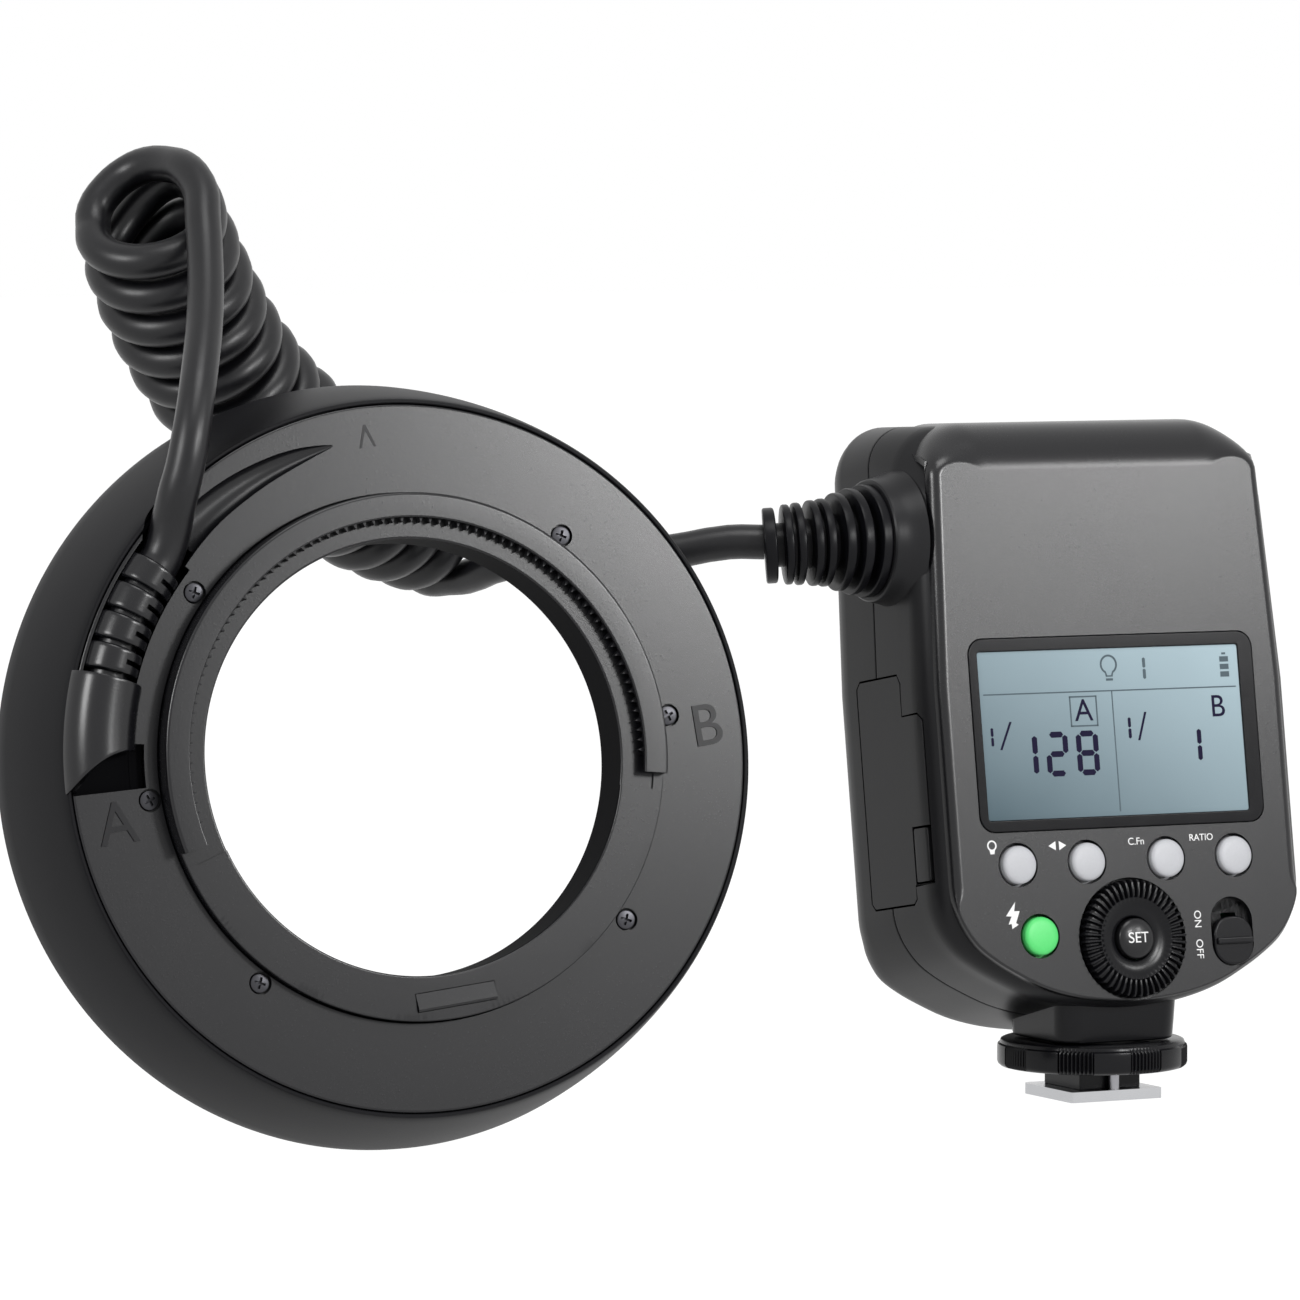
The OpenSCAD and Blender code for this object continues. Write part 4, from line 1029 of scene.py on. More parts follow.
@dataclass
class RingHead:
    """Housing, cover, adapter seat, gland, bridge, screws and marks of the ring head."""

    outer: float = 65.0
    cover: float = 59.4
    rim_in: float = 59.55
    rim_out: float = 60.3
    rim_depth: float = 22.0
    depth: float = 25.6
    seat: float = 44.2
    opening: float = 36.6
    floor: float = 1.4
    land: float = 1.8
    lip_top: float = 4.2
    lip_width: float = 4.2
    lip_half: float = 102.6
    step: float = 3.6
    path: float = 54.0
    gland: float = 4.8
    gland_z: float = -1.5
    mouth: float = 137.0
    gland_from: float = 135.4
    stretch: float = 1.08
    pitch: float = 5.0
    blocks: int = 4
    bridge_to: float = 170.0
    pocket_to: float = 177.4
    groove_widths: tuple[Point, ...] = (
        (144, 7.8), (139, 7.6), (133, 7.0), (127, 6.2), (121, 5.4), (115, 4.9), (107, 3.8),
        (102, 2.8), (99, 1.9), (96.5, 1.0), (95, 0.3), (94, 0.1))
    screw_ring: float = 46.4
    screw_angles: tuple[float, ...] = (-45, 0, 45, 135, 180, 225)
    # Guide of the bowed wall, start and radii of the pocket, and where the cord leaves the rim
    wall_middle: float = 63.4
    pocket_from: float = 168.5
    pocket_in: float = 46.7
    pocket_out: float = 59.3
    way_out: Place = (-33, 51.5, 4.4)
    # Gland: depth and width of the gaps between its blocks, run and drop of their round edges,
    # the slit's sector of the section, its middle, its half width and the bare edge beside it
    tooth: float = 1.35
    gap: float = 0.7
    edge_run: float = 0.45
    edge_drop: float = 0.5
    slit_sector: Point = (105, 190)
    slit_at: float = 2.15
    slit_half: float = 0.42
    slit_edge: float = 0.25
    # Rows of the gland's loft, for each block and past the last one
    block_rows: tuple[float, ...] = (
        0.02, 0.12, 0.24, 0.26, 0.45, 0.8, 1.2, 1.71, 1.74, 2.56, 2.59, 3.0, 3.4, 3.85, 4.04, 4.06,
        4.18, 4.28, 4.31, 4.6, 4.98)
    tail_rows: tuple[float, ...] = (20.5, 24, 28, 31)
    # Bridge: its outer and inner radius, what the outer one loses inwards, the askew end's reach
    bridge_out: float = 6.6
    bridge_in: float = 5.02
    bridge_loss: float = 0.6
    bridge_lip: float = 7.2

    def bar(self, start: float, end: float, radius: float) -> Piece:
        """A round bar along the gland's circle, to cut with."""
        ring = [(self.path + x, self.gland_z + y) for x, y in arc((0, 0), radius, 0, 345, 23)]
        return Bench.lathe("bar", ring, start, end - start, 48)

    def rod(self, start: Vector, end: Vector, radius: float) -> Piece:
        """A round rod between two points, to cut with."""
        length = (end - start).length
        rod = Bench.lathe("rod", [(0, 0), (radius, 0), (radius, length), (0, length)], steps=32)
        return Bench.place(rod, aimed(start, end - start, "Z"))

    def cord_way(self) -> list[Piece]:
        """Cutters for the channel, and the cord's way out over the rim."""
        turn = math.radians(self.mouth)
        way = Vector((math.sin(turn), -math.cos(turn), 0))
        start = polar(self.path, self.mouth, self.gland_z)
        return [self.bar(self.mouth - 5, self.pocket_to, self.gland + 0.2),
                self.rod(start - way, start + way * 7.2, 4.0),
                self.rod(start + way * 4, Vector(self.way_out), 4.3)]

    def groove(self) -> Piece:
        """Cutter for the run-out groove, a trough that narrows to a point."""
        leans = [math.radians(15 * k) for k in range(24)]
        rows = []
        for angle, width in flowing(self.groove_widths, 3):
            out = polar(1.0, angle)
            deep = min(1.75, 0.42 * width)
            rows.append([out * (self.path - 0.3 + width / 2 * math.cos(lean))
                         + Vector((0, 0, deep * math.sin(lean))) for lean in leans])
        return Bench.loft("groove", rows)

    def pocket(self, low: float, high: float, slack: float) -> Piece:
        """A block that fills the pocket below the bridge, larger by some slack."""
        inner, outer = self.pocket_in - slack, self.pocket_out + slack
        profile = [(inner, low), (outer, low), (outer, high), (inner, high)]
        return Bench.lathe("pocket", profile, self.pocket_from - slack,
                           self.pocket_to - self.pocket_from + 2 * slack, 24)

    def wall(self, depth: float) -> float:
        """Radius of the bowed outer wall at a depth below the rim."""
        t = depth / self.rim_depth
        return (self.rim_out * (1 - t) ** 2 + self.wall_middle * 2 * t * (1 - t)
                + self.outer * t * t)

    def build_housing(self) -> None:
        """Outer wall with its rim, bowed a little, and the channel for the gland."""
        bow = [(self.wall(self.rim_depth * k / 12), -self.rim_depth * k / 12) for k in range(1, 13)]
        under, decks = -2.05, (-13.4, -12.0)
        high, foot = self.rim_in - 1.85, self.outer - 3
        inside = [foot + (high - foot) * (z + self.rim_depth) / (self.rim_depth + under)
                  for z in decks]
        profile = ([(self.rim_in, -0.15), (self.rim_in + 0.15, 0), (self.rim_out - 0.25, 0),
                    (self.rim_out, -0.3)] + bow
                   + arc((self.outer - 1.2, 1.2 - self.depth), 1.2, 0, -90, 6)
                   + [(foot, -self.depth), (foot, -self.rim_depth), (inside[0], decks[0]),
                      (43, decks[0]), (43, under), (44.6, under), (44.6, decks[1]),
                      (inside[1], decks[1]), (high, under), (self.rim_in, under)])
        housing = Bench.lathe("ring_housing_shell", profile, steps=256)
        Bench.boolean(housing, Operation.DIFFERENCE, *self.cord_way())
        Bench.soften(housing, 0.14, 2, 50)
        hand_over(housing, RING, Paints.wall, Body.FLASH, ["ring_housing"])

    def build_cover(self) -> None:
        """Flat rear cover with countersinks, channel and run-out groove."""
        profile = rounded([(self.seat + 0.15, -2, 0), (self.cover, -2, 0), (self.cover, 0, 0.5),
                           (self.seat + 0.15, 0, 0.2)], 4)
        cover = Bench.lathe("ring_cover", profile, steps=256)
        cuts = self.cord_way()
        cuts += [self.groove(), self.pocket(-1.9, 2.0, 0.0)]
        for angle in self.screw_angles:
            at = polar(self.screw_ring, angle, -1.0)
            cuts.append(self.rod(at, at + Vector((0, 0, 3)), 1.95))
        Bench.boolean(cover, Operation.DIFFERENCE, *cuts)
        Bench.soften(cover, 0.16, 2, 50)
        hand_over(cover, RING, Paints.charcoal, Body.FLASH, ["ring_rear_cover"])

    def build_seat(self) -> None:
        """Adapter seat: tube and floor, C-shaped lip over a channel, and the lower land."""
        tube, low = self.opening + 2, self.floor - 0.5
        root, inner = self.seat - 1.8, self.seat - self.lip_width
        base = Bench.lathe("adapter_seat_body", rounded([
            (self.opening, -8.3, 0.2), (tube, -8.3, 0), (tube, -2, 0), (self.seat, -2, 0),
            (self.seat, self.floor, 0), (self.opening, self.floor, 0.4)], 4), steps=256)
        land = Bench.lathe("land", rounded([
            (self.opening + 0.02, low, 0), (self.seat - 0.01, low, 0),
            (self.seat - 0.01, self.land, 0.2), (self.opening + 0.02, self.land, 0.35)], 4),
            90 + self.lip_half + self.step, 360 - 2 * (self.lip_half + self.step), 120)
        lip = Bench.lathe("lip", rounded([
            (root, low, 0), (self.seat - 0.005, low, 0), (self.seat - 0.005, self.lip_top, 0.6),
            (inner, self.lip_top, 0.3), (inner, self.lip_top - 1, 0.2),
            (root, self.lip_top - 1, 0.1)], 4), 90 - self.lip_half, 2 * self.lip_half, 180)
        rise = Bench.lathe("rise", rounded([
            (root, low, 0), (self.seat - 0.01, low, 0), (self.seat - 0.01, self.land, 0.2),
            (root, self.land, 0)], 4), 90 + self.lip_half - 0.5, 360 - 2 * self.lip_half + 1, 120)
        Bench.boolean(base, Operation.UNION, land, lip, rise)
        notch = Bench.prism("notch", box_outline(-7.12, 7.12, -42.22, -38.98, 0.1), -3, 5)
        Bench.boolean(base, Operation.DIFFERENCE, notch)
        hand_over(base, RING, Paints.charcoal, Body.FLASH, ["adapter_seat"])
        self.paint_bore_shade(base)

    def paint_bore_shade(self, seat: Piece) -> None:
        """Paints shade on the wall of the seat's opening: a dull black finish where the bore is in
        shadow.

        Args:
            seat: The placed seat.
        """
        seat.data.materials.append(Paints.of(Paints.black_and_painted_shade))
        back = RING.inverted()
        for face in seat.data.polygons:
            if (back @ face.center).xy.length < self.opening + 0.05:
                face.material_index = 1

    def gland_radius(self, along: float, facing: float) -> float:
        """Radius of the gland's skin.

        Args:
            along: Place past the gland's mouth, in degrees before the stretch.
            facing: Angle round the section, 0 outwards and 90 towards the viewer.

        Returns:
            The radius in millimetres.
        """
        core = self.gland - self.tooth
        place = along % self.pitch
        edge = min(place, self.pitch - self.gap - place)
        if edge < 0 or along > self.pitch * self.blocks - self.gap:
            return core
        low, high = self.slit_sector
        slit = abs(place - self.slit_at) < self.slit_half or edge < self.slit_edge
        if slit and low < facing < high:
            return core
        return self.gland - self.edge_drop * (1 - min(edge / self.edge_run, 1.0)) ** 2

    def build_gland(self) -> None:
        """Slit blocks of the gland as one lofted bar."""
        edges = [0.0] + [block * self.pitch + k
                         for block in range(self.blocks) for k in self.block_rows]
        rows = []
        for along in (*edges, *self.tail_rows):
            out = polar(1.0, self.gland_from + along * self.stretch)
            row = []
            for facing in range(0, 360, 5):
                radius = self.gland_radius(along, facing)
                lean = math.radians(facing)
                row.append(out * (self.path + radius * math.cos(lean))
                           + Vector((0, 0, self.gland_z + radius * math.sin(lean))))
            rows.append(row)
        gland = Bench.loft("ring_gland_blocks", rows)
        hand_over(gland, RING, Paints.charcoal, Body.FLASH, ["ring_gland"], 28)

    def build_painted_shade(self) -> None:
        """Painted shade: a dark lining of the cord's channel and a dark floor of the pocket, where
        there is only shade.
        """
        pipe = [(self.path + x, self.gland_z + y) for x, y in
                arc((0, 0), 5.6, 180, 360, 20) + arc((0, 0), 5.03, 360, 180, 20)]
        painted_shade_skin = Bench.lathe("channel_painted_shade", pipe, self.mouth - 8,
                             self.pocket_to - self.mouth + 8, 48)
        Bench.join(painted_shade_skin, self.pocket(-1.88, -1.6, -0.05))
        hand_over(painted_shade_skin, RING, Paints.black_and_painted_shade, Body.FLASH)

    def build_bridge(self) -> None:
        """Half-round bridge that grows out of the outer wall, its end cut askew over the pocket."""
        outer = [10.5 + 154.5 * k / 36 for k in range(37)]
        inner = [162 - 144 * k / 24 for k in range(25)]
        skins = [(facing, self.bridge_out - self.bridge_loss * eased(facing, 40, 120))
                 for facing in outer] + [(facing, self.bridge_in) for facing in inner]
        section: list[Place] = [(59.5, -1.7, 0.0), (self.rim_out - 0.1, -1.0, 0.0)]
        for facing, radius in skins:
            section.append((*arc((self.path, self.gland_z), radius, facing, facing, 1)[0], facing))
        start = self.gland_from + self.blocks * self.pitch * self.stretch + 0.3
        rows = []
        for step in range(25):
            row = []
            for radius, height, facing in section:
                share = (0.5 + 0.5 * math.cos(math.radians(facing))) ** 2.4
                end = self.bridge_to + self.bridge_lip * share
                row.append(polar(radius, start + (end - start) * step / 24, height))
            rows.append(row)
        bridge = Bench.loft("gland_bridge_cover", rows)
        Bench.soften(bridge, 0.2, 2, 50)
        hand_over(bridge, RING, Paints.charcoal, Body.FLASH, ["gland_bridge"])

    def build_screws(self) -> None:
        """One cross-head screw, copied to six places."""
        first = Bench.lathe("ring_screw", rounded([
            (0, -8, 0), (1.0, -8, 0), (1.0, -0.95, 0), (1.7, -0.95, 0.1), (1.7, -0.2, 0.3),
            (0, -0.08, 0)], 4), steps=40)
        slots = [Bench.prism("slot", box_outline(-w, w, -h, h, 0.1), -0.9, 0.4)
                 for w, h in ((1.0, 0.22), (0.22, 1.0))]
        Bench.boolean(first, Operation.DIFFERENCE, *slots)
        screws = [Bench.place(
            Bench.copy(first, "ring_screw"),
            Matrix.Translation(polar(self.screw_ring, angle)) @ turned("Z", angle * 3 + 20))
            for angle in self.screw_angles]
        bpy.data.objects.remove(first, do_unlink=True)
        whole = Bench.join(*screws, name="ring_cross_screws")
        hand_over(whole, RING, Paints.black_screw, Body.FLASH, ["ring_screws"])

    def build_marks(self) -> None:
        """Raised pointer above the opening and the letters of the two lamps."""
        pointer = Bench.prism("pointer_mark", [
            (-1.5, -1.9), (-1.05, -1.9), (0, 1.1), (1.05, -1.9), (1.5, -1.9), (0.22, 1.9),
            (-0.22, 1.9)], 0, 0.06)
        hand_over(pointer, RING @ moved(1.4, 54.3, 0), Paints.engraved, Body.FLASH)
        for letter, at in (("A", (-52.6, -3.2)), ("B", (52.9, -3.0))):
            mark = Bench.lettering("letter_" + letter.lower(), letter, 10.2, at, 0.0, 0.12)
            hand_over(mark, RING, Paints.engraved, Body.FLASH)

    def build(self) -> None:
        """Builds and dresses the ring head."""
        self.build_housing()
        self.build_cover()
        self.build_seat()
        self.build_gland()
        self.build_painted_shade()
        self.build_bridge()
        self.build_screws()
        self.build_marks()


@dataclass
class Shell:
    """Skin of the controller: two cups that meet at the seam, and the raised panel."""

    half: float = 37.5
    height: float = 105.0
    near: float = 15.3
    seam: float = -2.8
    far: float = -23.3
    wall: float = 2.0
    panel_half: float = 35.4
    panel_out: float = 16.2
    bow: tuple[Point, ...] = (
        (0, 0), (0.2, 0.45), (0.37, 1.5), (0.53, 3.3), (0.68, 6), (0.79, 8.4), (0.88, 11),
        (0.945, 14.2), (0.985, 17.6), (1, 21.5))
    # The sides lean in above the waist, a share of the height, by this much
    waist: float = 0.55
    taper: float = 1.6
    # The body grows taller behind this depth, by these shares of the way
    grows_from: float = 8.0
    rise: float = 0.115
    sag: float = 0.085
    # Radius of the upper corners, what they gain to the near and the far side, the panel's
    corner: float = 8.0
    near_corner: float = 8.0
    far_corner: float = 4.0
    panel_corner: float = 11.0
    door: tuple[Point, ...] = (
        (10, 21.6), (10, 60), (9, 61), (-4.7, 61), (-5.7, 59.5), (-5.7, 53.6), (-11.2, 53.6),
        (-12.2, 52.6), (-12.2, 23.8), (-6.4, 23.8), (-6.4, 21.4), (-5.4, 20.6), (9, 20.6))
    # Radius of the near edge at the sides and on top, of the far edge on top and underneath
    near_roll: Point = (5.0, 10.0)
    far_roll: Point = (10.0, 6.0)
    # Depth of a rolled edge, its share inside the wall, and (inset, depth) of the seam's edge
    roll_reach: float = 10.2
    inner_share: float = 0.8
    seam_edge: tuple[Point, ...] = ((0.0, 0.35), (0.08, 0.1), (0.3, 0.0))
    # The panel's own roll, back edge, and wall across it and behind it
    panel_reach: float = 10.0
    panel_back: float = 13.9
    panel_wall: Point = (1.2, 1.7)
    # How far outside the cheek the door's cutter starts
    door_reach: float = 6.0

    def outline(self, half: float, low: float, high: float, corner: float) -> list[Point]:
        """Front outline of the body or the panel, anticlockwise from the lowest point.

        Args:
            half: Half the width.
            low: Height of the lowest point.
            high: Height of the top.
            corner: Radius of the upper corners.

        Returns:
            The outline's points.
        """
        guide = [(-self.bow[1][0], self.bow[1][1])] + list(self.bow) + [(1, 30)]
        side = [(x * half, low + y) for x, y in flowing(guide, 4)]
        waist = (half, high * self.waist)
        shoulder = (half - self.taper, high - corner)
        for a, b, steps in ((side[-1], waist, 4), (waist, shoulder, 4)):
            side += [(a[0] + (b[0] - a[0]) * k / steps, a[1] + (b[1] - a[1]) * k / steps)
                     for k in range(1, steps + 1)]
        side += arc((half - self.taper - corner, high - corner), corner, 0, 90, 14)[1:]
        last = side[-1]
        side += [(last[0] * (1 - k / 6), high) for k in range(1, 7)]
        return side + [(-x, y) for x, y in reversed(side[1:-1])]

    def body_shape(self, depth: float) -> list[Point]:
        """Outline of the body at a depth: taller to the far side, its near corners wide."""
        deep = max(0.0, self.grows_from - depth)
        corner = (self.corner + self.near_corner * eased(depth, 2.0, 12.0)
                  + self.far_corner * eased(-depth, 8.0, 22.0))
        return self.outline(self.half, -self.sag * deep, self.height + self.rise * deep, corner)

    def panel_shape(self, depth: float) -> list[Point]:
        """Outline of the raised panel at a depth."""
        top = self.height + 0.5 + self.rise * max(0.0, self.grows_from - depth)
        return self.outline(self.panel_half, 1, top, self.panel_corner)

    @staticmethod
    def sections(shape: Callable[[float], list[Point]],
                 steps: Sequence[Step]) -> list[list[Vector]]:
        """Rows of a loft: each step gives the inset and depth for the way that the outline faces.

        Args:
            shape: The outline at a depth.
            steps: Functions of the upward part of the normal that give (inset, depth).

        Returns:
            The rows of points.
        """
        rows = []
        for step in steps:
            outline = shape(step(1.0)[1])
            ways = outward(outline)
            row = []
            for (x, y), way in zip(outline, ways):
                inset, depth = step(way.y)
                row.append(Vector((x - way.x * inset, y - way.y * inset, depth)))
            rows.append(row)
        return rows

    @staticmethod
    def roll(radius: float, depth: float) -> float:
        """Inset of a rolled edge at a depth below its face."""
        if depth >= radius:
            return 0.0
        return radius - math.sqrt(max(radius ** 2 - (radius - depth) ** 2, 0.0))

    @staticmethod
    def rolled(reach: float, count: int = 11) -> list[float]:
        """Depths of a rolled edge's rows, from 0 to its reach, closest together at its face."""
        return [reach * (1 - math.cos(math.radians(90 / (count - 1) * k))) for k in range(count)]

    def near_radius(self, up: float) -> float:
        """Radius of the near edge: larger over the top."""
        return between(self.near_roll, eased(up, 0.2, 0.9))

    def far_radius(self, up: float) -> float:
        """Radius of the far edge: smaller underneath."""
        return between(self.far_roll, eased(-up, 0.2, 0.9))

    def panel_radius(self, up: float) -> float:
        """Radius of the panel's edge: a crisp ridge below, a wide roll over the top."""
        return 0.5 + 1.7 * eased(up, -0.3, 0.0) + 7.3 * eased(up, 0.1, 1.0)

    def panel_edge(self, up: float) -> float:
        """Depth of the panel's back edge: down to the seam over the top."""
        return between((self.panel_back, self.seam + 0.2), eased(up, 0.2, 0.7))

    def cup(self, name: str, end: float, seam: float,
            radius: Callable[[float], float]) -> Piece:
        """One half of the body as a wall that is open at the seam.

        Args:
            name: The piece's name.
            end: Depth of the closed end.
            seam: Depth of the open end.
            radius: Radius of the closed end's edge by the way it faces.

        Returns:
            The new piece.
        """
        side = 1 if end > seam else -1
        depths = self.rolled(self.roll_reach)
        edge = (*self.seam_edge, (self.wall, 0.0))
        steps: list[Step] = [
            lambda up, d=depth: (self.roll(radius(up), d), end - side * d) for depth in depths]
        steps += [lambda up, i=inset, d=depth: (i, seam + side * d) for inset, depth in edge]
        steps += [
            lambda up, d=depth * self.inner_share: (
                self.wall + self.roll(radius(up) - self.wall, d), end - side * (self.wall + d))
            for depth in reversed(depths)]
        return Bench.loft(name, self.sections(self.body_shape, steps))

    def solid(self, name: str) -> Piece:
        """The whole body without its hollow, to cut the battery's door or latch from."""
        depths = self.rolled(self.roll_reach)
        steps: list[Step] = [
            lambda up, d=depth: (self.roll(self.near_radius(up), d), self.near - d)
            for depth in depths]
        steps += [
            lambda up, d=depth: (self.roll(self.far_radius(up), d), self.far + d)
            for depth in reversed(depths)]
        return Bench.loft(name, self.sections(self.body_shape, steps))

    def panel_face(self, up: float, depth: float) -> float:
        """Depth of the panel's skin, which stops at its back edge below the rolled top."""
        level = self.panel_out - depth
        return max(level, self.panel_edge(up)) if up < 0.7 else level

    def raised_panel(self) -> Piece:
        """The panel with its crisp ridge, which rolls over the top to the seam."""
        inset, behind = self.panel_wall
        depths = self.rolled(self.panel_reach, 13)
        steps: list[Step] = [
            lambda up, d=depth: (self.roll(self.panel_radius(up), d), self.panel_face(up, d))
            for depth in depths]
        steps += [lambda up, i=across: (i, self.panel_edge(up)) for across in (0.0, inset)]
        steps += [
            lambda up, d=depth: (inset + self.roll(self.panel_radius(up), d),
                                 max(self.panel_out - behind - d, self.panel_edge(up)))
            for depth in reversed(depths)]
        return Bench.loft("raised_panel", self.sections(self.panel_shape, steps))

    def door_cutter(self, name: str, grow: float, inner: float) -> Piece:
        """A bar through the left cheek with the battery door's outline.

        Args:
            name: The piece's name.
            grow: How much larger than the door.
            inner: Where the bar ends inside, in X.

        Returns:
            The new piece.
        """
        ways = outward(self.door)
        grown = [(-(x + way.x * grow), y + way.y * grow) for (x, y), way in zip(self.door, ways)]
        start = self.half + self.door_reach
        bar = Bench.prism(name, grown, 0, start + inner)
        return Bench.close(Bench.place(bar, sideways(-start)), False)


@dataclass
class Controls:
    """Display, buttons, dial, set button and switch on the panel, with their marks."""

    face: float = 16.2
    display: tuple[float, float, float, float] = (-29.05, 29.05, 31.9, 66.1)
    glass: tuple[float, float, float, float] = (-27.3, 26.1, 33.9, 63.8)
    button: float = 3.4
    buttons: tuple[tuple[str, float, float], ...] = (
        ("light_button", -22.1, 26.0), ("select_button", -8.1, 26.0),
        ("function_button", 8.1, 26.0), ("ratio_button", 22.1, 26.0),
        ("test_button", -18.7, 13.3))
    dial_at: Point = (0.0, 12.0)
    dial: float = 10.5
    ribs: int = 48
    hub: float = 5.4
    set_radius: float = 3.6
    switch_at: Point = (20.6, 12.4)
    switch: Point = (8.6, 12.5)
    travel: float = 3.2
    # Depths of the cutters: inside the shell, out in the air, the sunk seats, the shell's skin
    inside: float = 8.0
    outside: float = 20.0
    sunk: float = 15.1
    skin: float = 15.5
    # Printing on the display's glass, and its height on the panel
    ink: Point = (16.07, 16.12)
    print_high: float = 0.04

    def cutters(self) -> list[Piece]:
        """Cutters for every opening in the panel and the shell behind it."""
        x0, x1, y0, y1 = self.display
        slack, rim = 0.15, 2.3
        frame_hole = box_outline(x0 - slack, x1 + slack, y0 - slack, y1 + slack, 3)
        glass_hole = box_outline(x0 + rim, x1 - rim, y0 + rim, y1 - rim, 1)
        holes = [(frame_hole, 15.0, self.outside), (glass_hole, self.inside, self.skin)]
        for _, x, y in self.buttons:
            holes.append((arc((x, y), self.button + 0.55, 0, 354, 59), self.inside, self.outside))
        x, y = self.switch_at
        w, h = self.switch
        track = box_outline(x - w / 2, x + w / 2, y - h / 2, y + h / 2, w / 2 - 0.01, 12)
        slot = box_outline(x - 1.55, x + 1.55, y - 3.45, y + 3.45, 0.3)
        holes += [(arc(self.dial_at, self.dial + 0.4, 0, 356, 89), self.sunk, self.outside),
                  (arc(self.dial_at, self.hub + 0.05, 0, 354, 59), self.inside, self.skin),
                  (track, self.sunk, self.outside), (slot, self.inside, self.skin)]
        return [Bench.prism("cut", outline, low, high) for outline, low, high in holes]

    def build_display(self) -> None:
        """Glossy window frame with the display glass set into it."""
        x0, x1, y0, y1 = self.display
        g0, g1, h0, h1 = self.glass
        frame_piece = Bench.prism("lcd_frame", box_outline(x0, x1, y0, y1, 3, 10), 15.05, 16.35)
        opening = Bench.prism("cut", box_outline(g0, g1, h0, h1, 0.5, 4), 16.0, 20)
        Bench.boolean(frame_piece, Operation.DIFFERENCE, opening)
        Bench.soften(frame_piece, 0.3, 3, 50)
        hand_over(frame_piece, PANEL, Paints.window, Body.FLASH, ["lcd_window"])
        pane = box_outline(g0 + 0.05, g1 - 0.05, h0 + 0.05, h1 - 0.05, 0.45, 4)
        glass = Bench.prism("lcd_glass", pane, 15.6, 16.08)
        Bench.soften(glass, 0.04, 2, 50)
        hand_over(glass, PANEL, Paints.display, Body.FLASH)

    def inked(self, outline: Sequence[Point]) -> Piece:
        """A printed shape on the display's glass."""
        return Bench.prism("bar", outline, *self.ink)

    def strip(self, x0: float, x1: float, y0: float, y1: float) -> Piece:
        """A printed rectangle on the display's glass."""
        return self.inked([(x0, y0), (x1, y0), (x1, y1), (x0, y1)])

    def slash(self, x0: float, x1: float, y0: float, y1: float, wide: float = 0.45) -> Piece:
        """A printed slanting stroke on the display's glass."""
        return self.inked([(x0, y0), (x0 + wide, y0), (x1, y1), (x1 - wide, y1)])

    def segment_digit(self, digit: str, at: Point, high: float) -> list[Piece]:
        """One seven-segment digit from slim bars.

        Args:
            digit: The digit.
            at: Its lower left corner.
            high: Its height.

        Returns:
            The bars.
        """
        lit = {"1": "bc", "2": "abged", "8": "abcdefg"}[digit]
        wide, thick = high * 0.5, high * 0.15
        half = thick / 2
        x, y = at
        across = {"a": y + high, "g": y + high / 2, "d": y}
        uprights = {"b": (x + wide, y + high / 2), "c": (x + wide, y), "e": (x, y),
                    "f": (x, y + high / 2)}
        bars = []
        for name in lit:
            if name in across:
                level = across[name]
                tips = x + thick * 0.3, x + wide - thick * 0.3
                left, right = x + thick * 0.7, x + wide - thick * 0.7
                outline = [(tips[0], level), (left, level - half), (right, level - half),
                           (tips[1], level), (right, level + half), (left, level + half)]
            else:
                middle, low = uprights[name]
                top = low + high / 2
                ends = low + thick * 0.45, top - thick * 0.45
                outline = [(middle, low + thick * 0.1), (middle + half, ends[0]),
                           (middle + half, ends[1]), (middle, top - thick * 0.1),
                           (middle - half, ends[1]), (middle - half, ends[0])]
            bars.append(self.inked(outline))
        return bars

    def build_reading(self) -> None:
        """Lines, frames and digits on the display."""
        g0, g1, h0, _ = self.glass
        strong: list[Piece] = []
        for digit, at, high in (
                ("1", (-20.3, 41.85), 6.9), ("2", (-14.1, 41.85), 6.9), ("8", (-7.9, 41.85), 6.9),
                ("1", (14.0, 43.1), 5.8), ("1", (-27.0, 47.0), 3.4), ("1", (0.8, 47.5), 3.9)):
            strong += self.segment_digit(digit, at, high)
        strong += [self.slash(-23.9, -21.2, 46.4, 51.3), self.slash(4.3, 6.4, 47.2, 52.2)]
        strong += [Bench.lettering("bar", word, 5.6, at, self.ink[0])
                   for word, at in (("A", (-6.4, 52.7)), ("B", (21.2, 52.6)))]
        faint = [self.strip(g0 + 0.8, g1 - 0.8, 56.1, 56.32),
                 self.strip(-0.5, -0.3, h0 + 0.8, 56.1)]
        faint += [self.strip(-9.2, -3.6, y, y + 0.25) for y in (50.0, 55.2)]
        faint += [self.strip(x, x + 0.25, 50.0, 55.45) for x in (-9.2, -3.85)]
        faint += self.segment_digit("1", (4.6, 58.0), 4.0)
        faint += [self.strip(22.3, 24.1, 58.0 + 1.35 * k, 58.95 + 1.35 * k) for k in range(3)]
        faint += [self.strip(22.8, 23.6, 62.0, 62.35), self.strip(-1.35, 0.05, 58.0, 58.4)]
        lamp = (-0.65, 60.9)
        bulb = self.inked(arc(lamp, 1.75, -62, 242, 24) + [(-1.35, 58.7), (0.05, 58.7)])
        hollow = Bench.prism(
            "cut", arc(lamp, 1.4, -62, 242, 24) + [(-1.05, 58.95), (-0.25, 58.95)], 16, 17)
        faint.append(Bench.boolean(bulb, Operation.DIFFERENCE, hollow))
        for name, bars, finish in (("lcd_reading", strong, Paints.ink),
                                   ("lcd_lines", faint, Paints.faint_ink)):
            hand_over(Bench.join(*bars, name=name), PANEL, finish, Body.FLASH)

